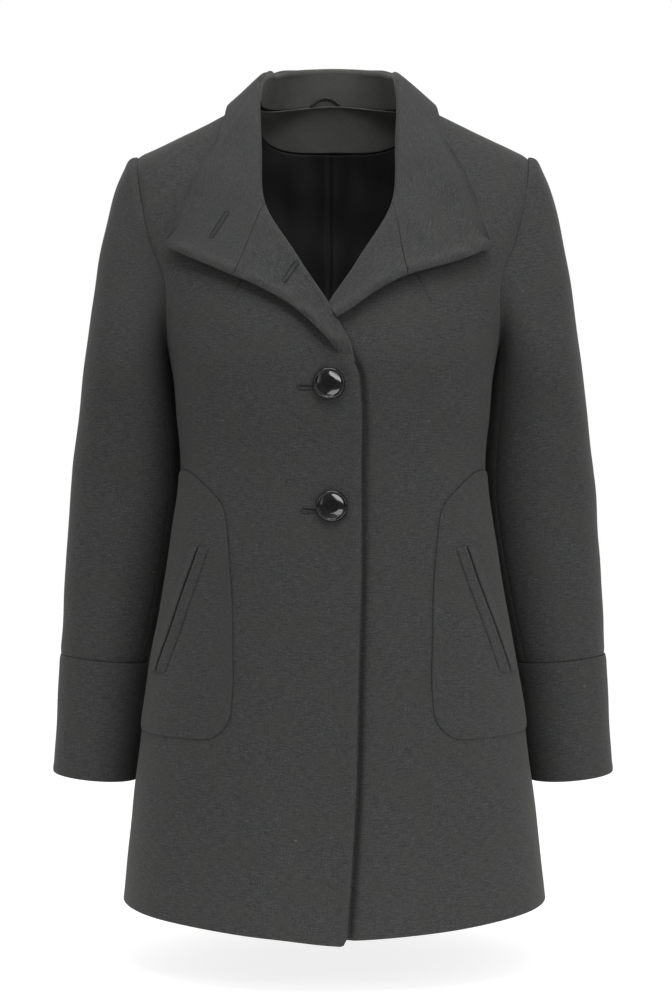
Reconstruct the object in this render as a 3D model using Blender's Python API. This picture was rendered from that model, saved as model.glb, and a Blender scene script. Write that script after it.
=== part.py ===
# A woman's single-breasted wool overcoat, filled out as if worn, with no wearer.
# Metres, +Z up, the front faces -Y and the wearer's right is at -X.
# The origin is the middle of the shoulders, where a wearer carries the coat.

from math import pi

import bpy
import numpy as np
from mathutils import Vector

# Driving sizes
clothWall = 0.0022          # wool with its interlining
collarWall = 0.0032         # two layers of wool
liningWall = 0.0012
patchWall = 0.0016
patchRise = 0.0010          # of the pocket panel's underside off the front
weltRise = 0.0035           # of the welts' underside off the front
seamGap = 0.0003            # between sewn pieces
frontLayer = 0.0015         # how far the fronts part where one lies over the other
layerReach = 0.55           # share of the half width over which that parting fades
ridgeSpread = 0.25          # how softly the shoulder slope starts at the neck
neckShare = 0.38            # neck point, as a share of the half width
neckDip = 1.13              # rows that the back's neckline dips at its middle
neckMiddle = 0.015          # where the neck's axis lies, front to back
foldRadius = 0.0028         # of the collar's roll
armholeGap = 0.0005         # between the armhole's edge and the sleeve's
sleeveSeam = 0.0005         # taken off each side of a sleeve's long seam
seamRoom = 0.0028           # between the neckline's straight steps and the collar's base
rollOverhang = 0.0015       # how far the lapel runs past the front's edge before it rolls
buttonDiameter = 0.030
buttonHeight = 0.0052
buttonSpots = {"button_upper": (-0.0035, -0.2515), "button_lower": (-0.0010, -0.3660)}
cuffProud = 0.0010          # how far the cuff band stands out from the sleeve
cuffTilt = 0.10             # slope of the cuff's rings, outer side higher
cornerRadius = 0.028        # of the pocket panel's lower inner corner
panelFoot = -0.585          # lower edge of the pocket panel
facingRows = 4              # rows of the back that the neck facing covers
liningStart = 0.03          # rows between the facing's foot and the lining
liningEase = 0.0035         # how far the lining hangs off the back
pleatDepth = 0.007
pleatWidth = 0.014
foldDepth = 0.0022          # of the lining's soft folds
foldSpacing = 0.021
loopSpan = (-0.021, 0.005)
loopRise = 0.008
loopRadius = 0.0011

woolColour = (0.048, 0.049, 0.050)
liningColour = (0.010, 0.010, 0.011)
buttonColour = (0.006, 0.006, 0.007)

# Sections of the body, from the shoulder ridge to the hem. Each gives its height at the
# middle, how much lower it is at the side, the half width, the depths to the front and the
# back, how square it is, where the armhole cuts it, as a share of the half width, and how
# far from the middle the front's inner edge lies, negative past the middle.
sectionColumns = ("z", "drop", "halfWidth", "frontDepth", "backDepth", "square", "armhole", "edge")
sections = (
    (0.058, 0.080, 0.205, 0.000, 0.000, 3.0, 0.951, 0.078),
    (0.051, 0.090, 0.2045, 0.038, 0.075, 3.1, 0.948, 0.074),
    (0.000, 0.075, 0.200, 0.066, 0.098, 3.2, 0.942, 0.070),
    (-0.070, 0.045, 0.190, 0.092, 0.113, 3.0, 0.935, 0.064),
    (-0.140, 0.015, 0.175, 0.118, 0.118, 2.8, 0.925, 0.030),
    (-0.215, 0.000, 0.163, 0.135, 0.118, 2.6, 1.000, -0.0065),
    (-0.270, 0.000, 0.156, 0.133, 0.113, 2.4, 1.000, -0.026),
    (-0.331, 0.000, 0.152, 0.127, 0.107, 2.3, 1.000, -0.026),
    (-0.421, 0.000, 0.167, 0.132, 0.116, 2.3, 1.000, -0.026),
    (-0.521, 0.000, 0.185, 0.142, 0.133, 2.3, 1.000, -0.026),
    (-0.618, 0.000, 0.195, 0.150, 0.147, 2.3, 1.000, -0.026),
    (-0.690, -0.004, 0.202, 0.155, 0.157, 2.3, 1.000, -0.025),
    (-0.7665, -0.0135, 0.209, 0.160, 0.165, 2.3, 1.000, -0.020),
)
armpitRow = 5.0
hemRow = len(sections) - 1.0
yokeRow = 2.0
yokeSteps = 6               # rows of cloth between the shoulder seam and the yoke
armholeSteps = 6            # rows between the yoke and the armpit, closer near the armpit
armholeCrowding = 1.4
skirtSteps = 14             # rows between the armpit and the hem

# Sections of the sleeve below the armhole: height, outer and inner side, middle and half depth.
sleeveColumns = ("z", "outer", "inner", "middle", "halfDepth")
sleeveSections = (
    (-0.250, 0.2520, 0.1602, 0.010, 0.0650),
    (-0.300, 0.2592, 0.1552, 0.022, 0.0625),
    (-0.350, 0.2655, 0.1540, 0.030, 0.0610),
    (-0.400, 0.2695, 0.1605, 0.035, 0.0595),
    (-0.460, 0.2733, 0.1722, 0.036, 0.0580),
    (-0.5195, 0.2761, 0.1850, 0.034, 0.0560),
    (-0.575, 0.2787, 0.1925, 0.032, 0.0540),
    (-0.638, 0.2820, 0.1990, 0.032, 0.0530),
)
underSleeve = (0.80 * pi, 1.30 * pi)    # angles between which the under sleeve lies

# Sections of the collar and lapel of one side, from the break at the front to the middle of
# the back. Each gives the row of the body where its base is sewn, negative on the front, the
# height of the stand and its lean to the neck, the free edge of the right and of the left side
# as a distance from the middle and a height, and how far that edge floats off the body.
collarColumns = ("row", "stand", "lean", "rightX", "rightZ", "leftX", "leftZ", "float")
collarSections = (
    (-5.27, 0.000, 0.000, -0.0125, -0.2310, -0.0600, -0.2320, 0.0048),
    (-4.95, 0.000, 0.000, 0.0070, -0.2090, -0.0260, -0.2085, 0.0048),
    (-4.45, 0.000, 0.000, 0.0373, -0.1811, 0.0150, -0.1845, 0.0050),
    (-3.82, 0.000, 0.000, 0.0717, -0.1604, 0.0400, -0.1640, 0.0055),
    (-3.05, 0.000, 0.000, 0.0905, -0.1535, 0.0690, -0.1465, 0.0060),
    (-2.40, 0.005, 0.001, 0.1300, -0.1345, 0.1150, -0.1305, 0.0070),
    (-1.90, 0.010, 0.001, 0.1555, -0.1120, 0.1465, -0.1150, 0.0080),
    (-1.45, 0.015, 0.002, 0.1365, -0.0672, 0.1325, -0.0690, 0.0065),
    (-1.00, 0.018, 0.006, 0.1105, -0.0173, 0.1095, -0.0180, 0.0055),
    (0.00, 0.024, 0.010, 0.0890, 0.0335, 0.0870, 0.0340, 0.0070),
    (0.565, 0.0280, 0.013, 0.0780, 0.0120, 0.0780, 0.0120, 0.0090),
    (0.96, 0.0275, 0.010, 0.0460, 0.0060, 0.0460, 0.0060, 0.0085),
    (1.13, 0.0275, 0.008, 0.0000, 0.0040, 0.0000, 0.0040, 0.0080),
)
gorgeSection = 4.0
leftCrossing = 1.82         # where the left lapel goes under the right one
backSection = len(collarSections) - 1.0
gorgeGap = 0.026            # half the seam gap, as a share of a collar section

# Upper edge of the pocket panel, from its inner side to the side seam.
panelEdge = (
    (0.508, -0.530),
    (0.530, -0.495),
    (0.560, -0.456),
    (0.612, -0.404),
    (0.661, -0.3716),
    (0.735, -0.3554),
    (0.900, -0.3340),
    (1.000, -0.3310),
)
slitTop = (0.1252, -0.405)      # welt slit, as a distance from the middle and a height
slitFoot = (0.1685, -0.526)
weltWidth = 0.0105
slitGap = 0.0010


def tableColumn(table, columns, name):
    return np.array([row[columns.index(name)] for row in table])


# A smooth curve through evenly spaced values, read at a fractional row.
def alongTable(values, row):
    row = np.clip(np.asarray(row, float), 0, len(values) - 1)
    low = np.clip(np.floor(row).astype(int), 0, len(values) - 2)
    t = row - low
    slopes = np.gradient(values)
    a, b = values[low], values[low + 1]
    ma, mb = slopes[low], slopes[low + 1]
    return ((2 * t**3 - 3 * t**2 + 1) * a + (t**3 - 2 * t**2 + t) * ma
            + (3 * t**2 - 2 * t**3) * b + (t**3 - t**2) * mb)


def section(name, row):
    return alongTable(tableColumn(sections, sectionColumns, name), np.abs(row))


def normalised(vectors):
    return vectors / np.maximum(np.linalg.norm(vectors, axis=-1, keepdims=True), 1e-12)


# How far the shoulder has dropped at a share of the half width, from 0 at the neck to 1.
def shoulderDrop(share):
    spread = np.sqrt(share**2 + ridgeSpread**2) - ridgeSpread
    return spread / (np.sqrt(1 + ridgeSpread**2) - ridgeSpread)


# A point of the body's outer surface. The turn runs from -1 at the right side seam to 1 at
# the left one, and the row is negative on the front and positive on the back.
def bodyPoint(turn, row, face):
    share = np.sin(turn * pi / 2)
    square = section("square", row)
    depth = section("frontDepth", row) if face < 0 else section("backDepth", row)
    around = np.maximum(1 - np.abs(share)**square, 0)**(1 / square)
    x = section("halfWidth", row) * share
    y = face * (depth * around + seamGap / 2)
    z = section("z", row) - section("drop", row) * shoulderDrop(np.abs(share))
    return np.stack(np.broadcast_arrays(x, y, z), -1)


# The outward normal there. On the shoulder and side seams it keeps to the seam's plane.
def bodyNormal(turn, row, face):
    step = 0.004
    row = np.abs(row)
    across = (bodyPoint(np.minimum(turn + step, 1), row, face)
              - bodyPoint(np.maximum(turn - step, -1), row, face))
    down = (bodyPoint(turn, np.minimum(row + step, hemRow), face)
            - bodyPoint(turn, np.maximum(row - step, 0), face))
    normal = np.cross(down, across) * -face
    onSeam = (np.abs(turn) > 0.9999) | (row < 1e-6)
    normal[..., 1] = np.where(onSeam, 0, normal[..., 1])
    return normalised(normal)


def turnOf(share):
    return np.arcsin(np.clip(share, -1, 1)) * 2 / pi


def armholeTurn(row):
    return turnOf(np.minimum(section("armhole", row), 1))


def edgeTurn(row):
    return turnOf(section("edge", row) / section("halfWidth", row))


# The row of the body at a distance from the middle and a height, by halving.
def rowAt(x, z):
    x, z = np.broadcast_arrays(np.abs(np.asarray(x, float)), np.asarray(z, float))
    low, high = np.zeros(x.shape), np.full(x.shape, hemRow)
    for _ in range(40):
        middle = (low + high) / 2
        share = np.clip(x / section("halfWidth", middle), 0, 1)
        above = section("z", middle) - section("drop", middle) * shoulderDrop(share) > z
        low, high = np.where(above, middle, low), np.where(above, high, middle)
    return (low + high) / 2


# The row where the back's neckline lies at a turn: a round dip between the neck points.
def necklineRow(turn):
    share = np.sin(turn * pi / 2) / neckShare
    return neckDip * np.sqrt(np.clip(1 - share**2, 0, 1))


# How far a front is moved out so that the right one lies over the left one.
def layerLift(side, turn):
    fade = np.clip(1 - np.abs(turn) / layerReach, 0, 1)
    return -side * frontLayer * fade**2 * (3 - 2 * fade)


# A point on the outer face of the right (-1) or left (1) front and its normal. The turn is
# counted from the middle to that side.
def frontPoint(side, turn, row):
    normal = bodyNormal(turn * side, row, -1)
    lift = layerLift(side, turn)[..., None]
    return bodyPoint(turn * side, row, -1) + normal * lift, normal


def addMaterial(name, colour, roughness):
    material = bpy.data.materials.new(name)
    material.use_nodes = True
    shader = material.node_tree.nodes["Principled BSDF"]
    shader.inputs["Base Color"].default_value = (*colour, 1)
    shader.inputs["Roughness"].default_value = roughness
    shader.inputs["Metallic"].default_value = 0
    return material


def addObject(name, points, faces, look):
    mesh = bpy.data.meshes.new(name)
    mesh.from_pydata(points.reshape(-1, 3).tolist(), [], faces)
    mesh.materials.append(addMaterial(name, *look))
    mesh.shade_smooth()
    mesh.set_sharp_from_angle(angle=pi / 4)
    thing = bpy.data.objects.new(name, mesh)
    bpy.context.scene.collection.objects.link(thing)
    return thing


# A wall between an outer and an inner grid of points. The columns may run round and close.
# With the outer face seen from outside, rows run down and columns to the right.
def addWall(name, outer, inner, look, closed=False):
    down, right = outer[1:, :-1] - outer[:-1, :-1], outer[:-1, 1:] - outer[:-1, :-1]
    if np.sum(np.cross(down, right) * (outer - inner)[:-1, :-1]) < 0:
        outer, inner = outer[:, ::-1], inner[:, ::-1]
    rows, columns = outer.shape[:2]
    number = np.arange(rows * columns).reshape(rows, columns)
    across = np.arange(columns if closed else columns - 1)
    following = (across + 1) % columns
    a, b = number[:-1][:, across], number[:-1][:, following]
    c, d = number[1:][:, following], number[1:][:, across]
    outside = np.stack((a, d, c, b), -1).reshape(-1, 4)
    inside = outside[:, [0, 3, 2, 1]] + number.size
    top, foot = number[0], number[-1]
    rims = [np.stack((top[across], top[following], top[following] + number.size,
                      top[across] + number.size), -1),
            np.stack((foot[following], foot[across], foot[across] + number.size,
                      foot[following] + number.size), -1)]
    if not closed:
        left, right = number[:, 0], number[:, -1]
        rims.append(np.stack((left[1:], left[:-1], left[:-1] + number.size, left[1:] + number.size), -1))
        rims.append(np.stack((right[:-1], right[1:], right[1:] + number.size, right[:-1] + number.size), -1))
    faces = np.concatenate((outside, inside, *rims))
    points = np.concatenate((outer.reshape(-1, 3), inner.reshape(-1, 3)))
    return addObject(name, points, faces.tolist(), look)


woolLook = (woolColour, 0.9)
liningLook = (liningColour, 0.5)
buttonLook = (buttonColour, 0.15)
sides = {"right": -1, "left": 1}

# Rows of cloth on the body, which the armhole's points follow.
crowded = 1 - (1 - np.linspace(0, 1, armholeSteps + 1)[1:])**armholeCrowding
armholeRows = np.concatenate((np.linspace(0, yokeRow, yokeSteps + 1),
                              yokeRow + (armpitRow - yokeRow) * crowded))
bodyRows = np.concatenate((armholeRows, np.linspace(armpitRow, hemRow, skirtSteps + 1)[1:]))


def addFront(side, name):
    columns = np.linspace(0, 1, 10)
    row = np.repeat(bodyRows[:, None], len(columns), 1)
    turn = edgeTurn(row) + (armholeTurn(row) - edgeTurn(row)) * columns
    outer, normal = frontPoint(side, turn, row)
    addWall(name, outer, outer - normal * clothWall, woolLook)


# Turns and rows of the back's points. Its rows start at the shoulder seam or, between the
# neck points, at the neckline.
def backGrid():
    columns = np.linspace(-1, 1, 21)
    top = necklineRow(columns * armholeTurn(0))
    row = top + bodyRows[:, None] * (1 - top / hemRow)
    return columns * armholeTurn(row), row


def addBack():
    turn, row = backGrid()
    outer, normal = bodyPoint(turn, row, 1), bodyNormal(turn, row, 1)
    addWall("back", outer, outer - normal * clothWall, woolLook)


def sleeveColumn(name, step):
    return alongTable(tableColumn(sleeveSections, sleeveColumns, name), step)


# A ring of the sleeve at a fractional section. The angle is 0 at the outer side, a quarter
# turn at the front and half a turn at the inner side.
def sleeveRing(side, angle, step, proud=0.0):
    outer, inner = sleeveColumn("outer", step), sleeveColumn("inner", step)
    halfWidth = (outer - inner) / 2 + proud
    tilt = cuffTilt * np.clip(step / 4, 0, 1)
    offset = halfWidth * np.cos(angle)
    x = (outer + inner) / 2 + offset
    y = sleeveColumn("middle", step) - (sleeveColumn("halfDepth", step) + proud) * np.sin(angle)
    z = sleeveColumn("z", step) + tilt * offset
    return np.stack(np.broadcast_arrays(side * x, y, z), -1)


# The closed armhole of one side, from the shoulder down the front and up the back: its
# points, the body's normals there, the way into the hole and the angle of each point.
def armholeLoop(side):
    turn = armholeTurn(armholeRows) * side
    front, back = bodyPoint(turn, armholeRows, -1), bodyPoint(turn, armholeRows, 1)
    front[[0, -1], 1] = 0
    points = np.concatenate((front, back[-2:0:-1]))
    normals = np.concatenate((bodyNormal(turn, armholeRows, -1), bodyNormal(turn, armholeRows, 1)[-2:0:-1]))
    along = normalised(np.roll(points, -1, 0) - np.roll(points, 1, 0))
    inward = normalised(np.cross(along, normals))
    hollow = points.mean(0) + np.array((side * 0.05, 0, 0))
    inward *= np.sign(np.sum(inward * (hollow - points), -1, keepdims=True))
    lengths = np.linalg.norm(np.roll(points, -1, 0) - points, axis=-1)
    half = len(front) - 1
    reach = np.concatenate(((0,), np.cumsum(lengths)))
    angle = np.where(np.arange(len(points)) <= half, pi * reach[:-1] / reach[half],
                     pi + pi * (reach[:-1] - reach[half]) / (reach[-1] - reach[half]))
    return points, normals, inward, angle


# Rings of the sleeve: curved cloth from the armhole to the first section, then the sections.
def sleeveGrid(side):
    points, normals, inward, angle = armholeLoop(side)
    start = points + inward * armholeGap
    first = sleeveRing(side, angle, 0)
    chord = np.linalg.norm(first - start, axis=-1, keepdims=True)
    leave = normalised(inward * 0.75 + np.array((side * 0.45, 0, 0))) * chord * 0.42
    arrive = normalised(sleeveRing(side, angle, 0.2) - first) * chord * 0.9
    rings = []
    for t in (0, 0.1, 0.22, 0.38, 0.57, 0.78):
        rings.append((2 * t**3 - 3 * t**2 + 1) * start + (t**3 - 2 * t**2 + t) * leave
                     + (3 * t**2 - 2 * t**3) * first + (t**3 - t**2) * arrive)
    for step in np.linspace(0, 5, 8):
        rings.append(sleeveRing(side, angle, step))
    outer = np.array(rings)
    down = np.gradient(outer, axis=0)
    around = np.roll(outer, -1, 1) - np.roll(outer, 1, 1)
    normal = normalised(np.cross(around, down)) * side
    normal[0] = normals
    return outer, outer - normal * clothWall, angle


def addSleeve(side, word):
    outer, inner, angle = sleeveGrid(side)
    count = len(angle)
    first, last = np.searchsorted(angle, underSleeve)
    under = np.arange(first, last + 1)
    upper = np.arange(last, count + first + 1) % count
    for name, picked in (("upper", upper), ("under", under)):
        skin, core = outer[:, picked].copy(), inner[:, picked].copy()
        for grid in (skin, core):
            grid[:, 0] += normalised(grid[:, 1] - grid[:, 0]) * sleeveSeam
            grid[:, -1] += normalised(grid[:, -2] - grid[:, -1]) * sleeveSeam
        addWall(f"{word}_{name}_sleeve", skin, core, woolLook)


def addCuff(side, word):
    angle = np.linspace(0, 2 * pi, 22, endpoint=False)
    steps = np.linspace(5.0, 7.0, 4)
    outer = np.array([sleeveRing(side, angle, step, cuffProud) for step in steps])
    inner = np.array([sleeveRing(side, angle, step, cuffProud - clothWall) for step in steps])
    outer[0, :, 2] -= seamGap
    inner[0, :, 2] -= seamGap
    addWall(f"{word}_cuff", outer, inner, woolLook, closed=True)


def collarColumn(name, step):
    return alongTable(tableColumn(collarSections, collarColumns, name), step)


# A surface of one side of the collar and lapel, halfway through its wall. Each section runs
# from its sewn base up the stand, round the roll and out over the body to the free edge.
def collarGrid(side, steps):
    word = "right" if side < 0 else "left"
    signedRow = collarColumn("row", steps)
    onFront = signedRow < 0
    baseRow = np.abs(signedRow)
    backShare = neckShare * np.sqrt(np.clip(1 - (baseRow / neckDip)**2, 0, 1))
    baseTurn = np.where(onFront, edgeTurn(baseRow), turnOf(backShare))
    edgeX, edgeZ = collarColumn(word + "X", steps), collarColumn(word + "Z", steps)
    freeRow = rowAt(edgeX, edgeZ)
    freeTurn = turnOf(edgeX / section("halfWidth", freeRow))
    stand, lean = collarColumn("stand", steps), collarColumn("lean", steps)
    span = np.array((0, 0.12, 0.3, 0.52, 0.76, 1.0))
    turn = baseTurn[:, None] + (freeTurn - baseTurn)[:, None] * span
    row = baseRow[:, None] + (freeRow - baseRow)[:, None] * span
    frontBody, frontNormal = frontPoint(side, turn, row)
    backBody, backNormal = bodyPoint(turn * side, row, 1), bodyNormal(turn * side, row, 1)
    body = np.where(onFront[:, None, None], frontBody, backBody)
    normal = np.where(onFront[:, None, None], frontNormal, backNormal)
    along = np.gradient(body[:, 0], axis=0)
    away = normalised(np.cross(along, normal[:, 0]))
    away *= np.sign(np.sum(away * (body[:, 0] - body[:, 2]), -1, keepdims=True))
    inward = normalised(np.stack((-body[:, 0, 0], neckMiddle - body[:, 0, 1], 0 * stand), -1))
    base = body[:, 0] - normal[:, 0] * clothWall / 2 + away * (seamRoom + collarWall / 2)
    lift = 2 * foldRadius - clothWall / 2
    hover = lift + (collarColumn("float", steps)[:, None] - lift) * span
    shift = (away * (seamRoom + collarWall / 2 + rollOverhang) + inward * lean[:, None]
             + np.array((0, 0, 1)) * stand[:, None])
    fall = body + normal * hover[..., None] + shift[:, None] * (1 - span[:, None])
    crest = normalised(fall[:, 0] - fall[:, 2])
    out = normal[:, 0] - crest * np.sum(normal[:, 0] * crest, -1, keepdims=True)
    out = normalised(out)
    inner = fall[:, 0] - out * 2 * foldRadius
    middle = fall[:, 0] - out * foldRadius
    bend = [middle + (np.cos(a) * -out + np.sin(a) * crest) * foldRadius for a in (pi / 4, pi / 2, pi * 3 / 4)]
    rise = base + (inner - base) * 0.5
    return np.stack((base, rise, inner, *bend, *np.moveaxis(fall, 1, 0)), 1)


def wallFromMiddle(grid, wall):
    across = np.gradient(grid, axis=1)
    along = np.gradient(grid, axis=0)
    normal = normalised(np.cross(along, across))
    return grid + normal * wall / 2, grid - normal * wall / 2


def addCollar():
    steps = np.linspace(gorgeSection + gorgeGap, backSection, 17)
    right, left = collarGrid(-1, steps), collarGrid(1, steps)
    left[-1] = right[-1]
    right[-1, :, 0] = 0
    grid = np.concatenate((right, left[-2::-1]))
    addWall("collar", *wallFromMiddle(grid, collarWall), woolLook)


def addLapel(side, word):
    first = 0.0 if side < 0 else leftCrossing
    steps = np.linspace(first, gorgeSection - gorgeGap, 9)
    grid = collarGrid(side, steps)
    addWall(f"{word}_lapel", *wallFromMiddle(grid, collarWall), woolLook)


# A piece laid on a front: a grid of turns and rows, moved out by a gap and a thickness.
def addOnFront(name, side, turn, row, rise, thickness, look):
    body, normal = frontPoint(side, turn, row)
    addWall(name, body + normal * (rise + thickness), body + normal * rise, look)


# The pocket panel hangs between its curved upper edge and its level foot, whose inner corner
# is an arc of a circle.
def addPocketPanel(side, word):
    edge = np.array(panelEdge)
    inner, bend = turnOf(edge[0, 0]), turnOf(edge[4, 0])
    turn = np.concatenate((np.linspace(inner, bend, 5), np.linspace(bend, 1, 9)[1:]))
    share = np.sin(turn * pi / 2)
    top = np.interp(share, edge[:, 0], edge[:, 1])
    halfWidth = section("halfWidth", rowAt(0, panelFoot))
    past = np.clip(1 - (share - edge[0, 0]) * halfWidth / cornerRadius, 0, 0.98)
    foot = panelFoot + cornerRadius * (1 - np.sqrt(1 - past**2))
    height = top + (foot - top) * np.linspace(0, 1, 10)[:, None]
    row = rowAt(0, height)
    turn = np.repeat(turn[None], len(height), 0)
    addOnFront(f"{word}_pocket_panel", side, turn, row, patchRise, patchWall, woolLook)


def addWelts(side, word):
    down = np.linspace(0, 1, 8)[:, None]
    x = slitTop[0] + (slitFoot[0] - slitTop[0]) * down
    z = slitTop[1] + (slitFoot[1] - slitTop[1]) * down
    for name, direction in (("front", -1), ("back", 1)):
        reach = direction * (slitGap / 2 + weltWidth * np.linspace(0, 1, 3))
        row = rowAt(0, z + 0 * reach)
        turn = turnOf((x + reach) / section("halfWidth", row))
        addOnFront(f"{word}_welt_{name}", side, turn, row, weltRise, patchWall, woolLook)


# A dished button with a raised rim, turned about its own axis.
def addButton(name):
    radius, height = buttonDiameter / 2, buttonHeight
    profile = np.array((
        (0.55, 0.00), (0.92, 0.10), (1.00, 0.38), (0.98, 0.72), (0.91, 0.95), (0.83, 1.00),
        (0.74, 0.92), (0.66, 0.74), (0.40, 0.60)))
    angle = np.linspace(0, 2 * pi, 22, endpoint=False)
    rings = np.stack((np.outer(profile[:, 0], np.cos(angle)) * radius,
                      np.outer(profile[:, 0], np.sin(angle)) * radius,
                      np.outer(profile[:, 1], np.ones(len(angle))) * height), -1)
    count = len(angle)
    number = np.arange(len(profile) * count).reshape(len(profile), count)
    following = np.roll(number, -1, 1)
    walls = np.stack((number[:-1], following[:-1], following[1:], number[1:]), -1).reshape(-1, 4)
    faces = walls.tolist() + [number[0, ::-1].tolist(), number[-1].tolist()]
    thing = addObject(name, rings, faces, buttonLook)
    x, z = buttonSpots[name]
    row = rowAt(x, z)
    turn = turnOf(-x / section("halfWidth", row))
    point, normal = frontPoint(-1, np.array(turn), np.array(row))
    thing.location = Vector(point + normal * seamGap)
    thing.rotation_euler = Vector(normal).to_track_quat("Z", "Y").to_euler()


# Cloth on the inside of the back, made from the back's own points.
def addInBack(name, turn, row, depth, wall, look):
    body, normal = bodyPoint(turn, row, 1), bodyNormal(turn, row, 1)
    outer = body - normal * (clothWall + seamGap + depth)[..., None]
    addWall(name, outer, outer - normal * wall, look)


def addFacing():
    turn, row = backGrid()
    middle = np.abs(np.sin(turn[0] * pi / 2)) < neckShare
    turn, row = turn[:facingRows, middle], row[:facingRows, middle]
    addInBack("back_neck_facing", turn, row, 0 * row, patchWall, woolLook)


# The lining hangs from the facing's foot, with soft folds and a pleat at its middle.
def addLining():
    turn, row = backGrid()
    turn, row = turn[facingRows - 1:-1:2, 1:-1], row[facingRows - 1:-1:2, 1:-1]
    row[0] += liningStart
    x = np.sin(turn * pi / 2) * section("halfWidth", row)
    fade = np.clip(1 - row / hemRow, 0, 1)
    folds = foldDepth * (1 - np.cos(x / foldSpacing * 2 * pi)) / 2
    depth = liningEase + fade * (pleatDepth * np.exp(-(x / pleatWidth)**2) + folds)
    addInBack("back_lining", turn, row, depth, liningWall, liningLook)


# A narrow rouleau across the neck seam, close to the stand's inner face.
def addHangerLoop():
    stand = collarGrid(-1, np.linspace(backSection, backSection - 1, 13))
    reach = np.abs(stand[:, 0, 0])
    t = np.linspace(0, 1, 11)
    x = loopSpan[0] + (loopSpan[1] - loopSpan[0]) * t
    seam = [np.interp(np.abs(x), reach, stand[:, 0, axis]) for axis in (1, 2)]
    top = [np.interp(np.abs(x), reach, stand[:, 2, axis]) for axis in (1, 2)]
    z = seam[1] + loopRise * np.sin(pi * t)
    lean = (top[0] - seam[0]) / (top[1] - seam[1])
    y = seam[0] + lean * (z - seam[1]) - collarWall / 2 - loopRadius - seamGap * 5
    path = np.stack((x, y, z), -1)
    along = normalised(np.gradient(path, axis=0))
    side = np.array((0, 1, 0))
    up = normalised(np.cross(along, side))
    angle = np.linspace(0, 2 * pi, 8, endpoint=False)
    rings = path[:, None] + loopRadius * (up[:, None] * np.cos(angle)[:, None] + side * np.sin(angle)[:, None])
    number = np.arange(rings.shape[0] * len(angle)).reshape(rings.shape[0], len(angle))
    following = np.roll(number, -1, 1)
    walls = np.stack((number[:-1], number[1:], following[1:], following[:-1]), -1).reshape(-1, 4)
    faces = walls.tolist() + [number[0].tolist(), number[-1, ::-1].tolist()]
    addObject("hanger_loop", rings, faces, woolLook)


def main():
    for thing in list(bpy.data.objects):
        bpy.data.objects.remove(thing)
    for word, side in sides.items():
        addFront(side, f"{word}_front")
        addSleeve(side, word)
        addCuff(side, word)
        addLapel(side, word)
        addPocketPanel(side, word)
        addWelts(side, word)
    addBack()
    addCollar()
    for name in buttonSpots:
        addButton(name)
    addFacing()
    addLining()
    addHangerLoop()


main()
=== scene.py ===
# A charcoal wool overcoat, filled out as worn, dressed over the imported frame.
# Metres, +Z up, the front faces -Y and the wearer's right is at -X.

from math import pi

import bpy
import numpy as np
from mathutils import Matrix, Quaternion, Vector


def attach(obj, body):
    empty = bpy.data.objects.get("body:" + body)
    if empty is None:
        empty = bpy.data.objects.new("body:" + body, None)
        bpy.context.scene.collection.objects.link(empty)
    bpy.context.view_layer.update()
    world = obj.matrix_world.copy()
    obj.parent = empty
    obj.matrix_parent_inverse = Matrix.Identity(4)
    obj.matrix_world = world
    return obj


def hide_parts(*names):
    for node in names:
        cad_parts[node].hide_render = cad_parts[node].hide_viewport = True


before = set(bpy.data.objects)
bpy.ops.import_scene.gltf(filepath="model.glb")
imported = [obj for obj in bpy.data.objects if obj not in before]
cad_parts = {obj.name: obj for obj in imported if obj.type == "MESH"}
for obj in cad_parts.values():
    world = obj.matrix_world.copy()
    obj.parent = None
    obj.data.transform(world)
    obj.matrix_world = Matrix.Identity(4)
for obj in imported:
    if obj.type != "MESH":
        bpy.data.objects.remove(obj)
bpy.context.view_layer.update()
print("frame loaded,", len(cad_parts), "nodes")

sides = {"right": -1, "left": 1}
# The photo's level camera, the photo's centre in pixels and a pixel's size at y = 0.
viewer = {"x": 0.003, "distance": 2.0, "z": -0.364, "centre": (336, 504), "pixel": 0.001}

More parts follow.
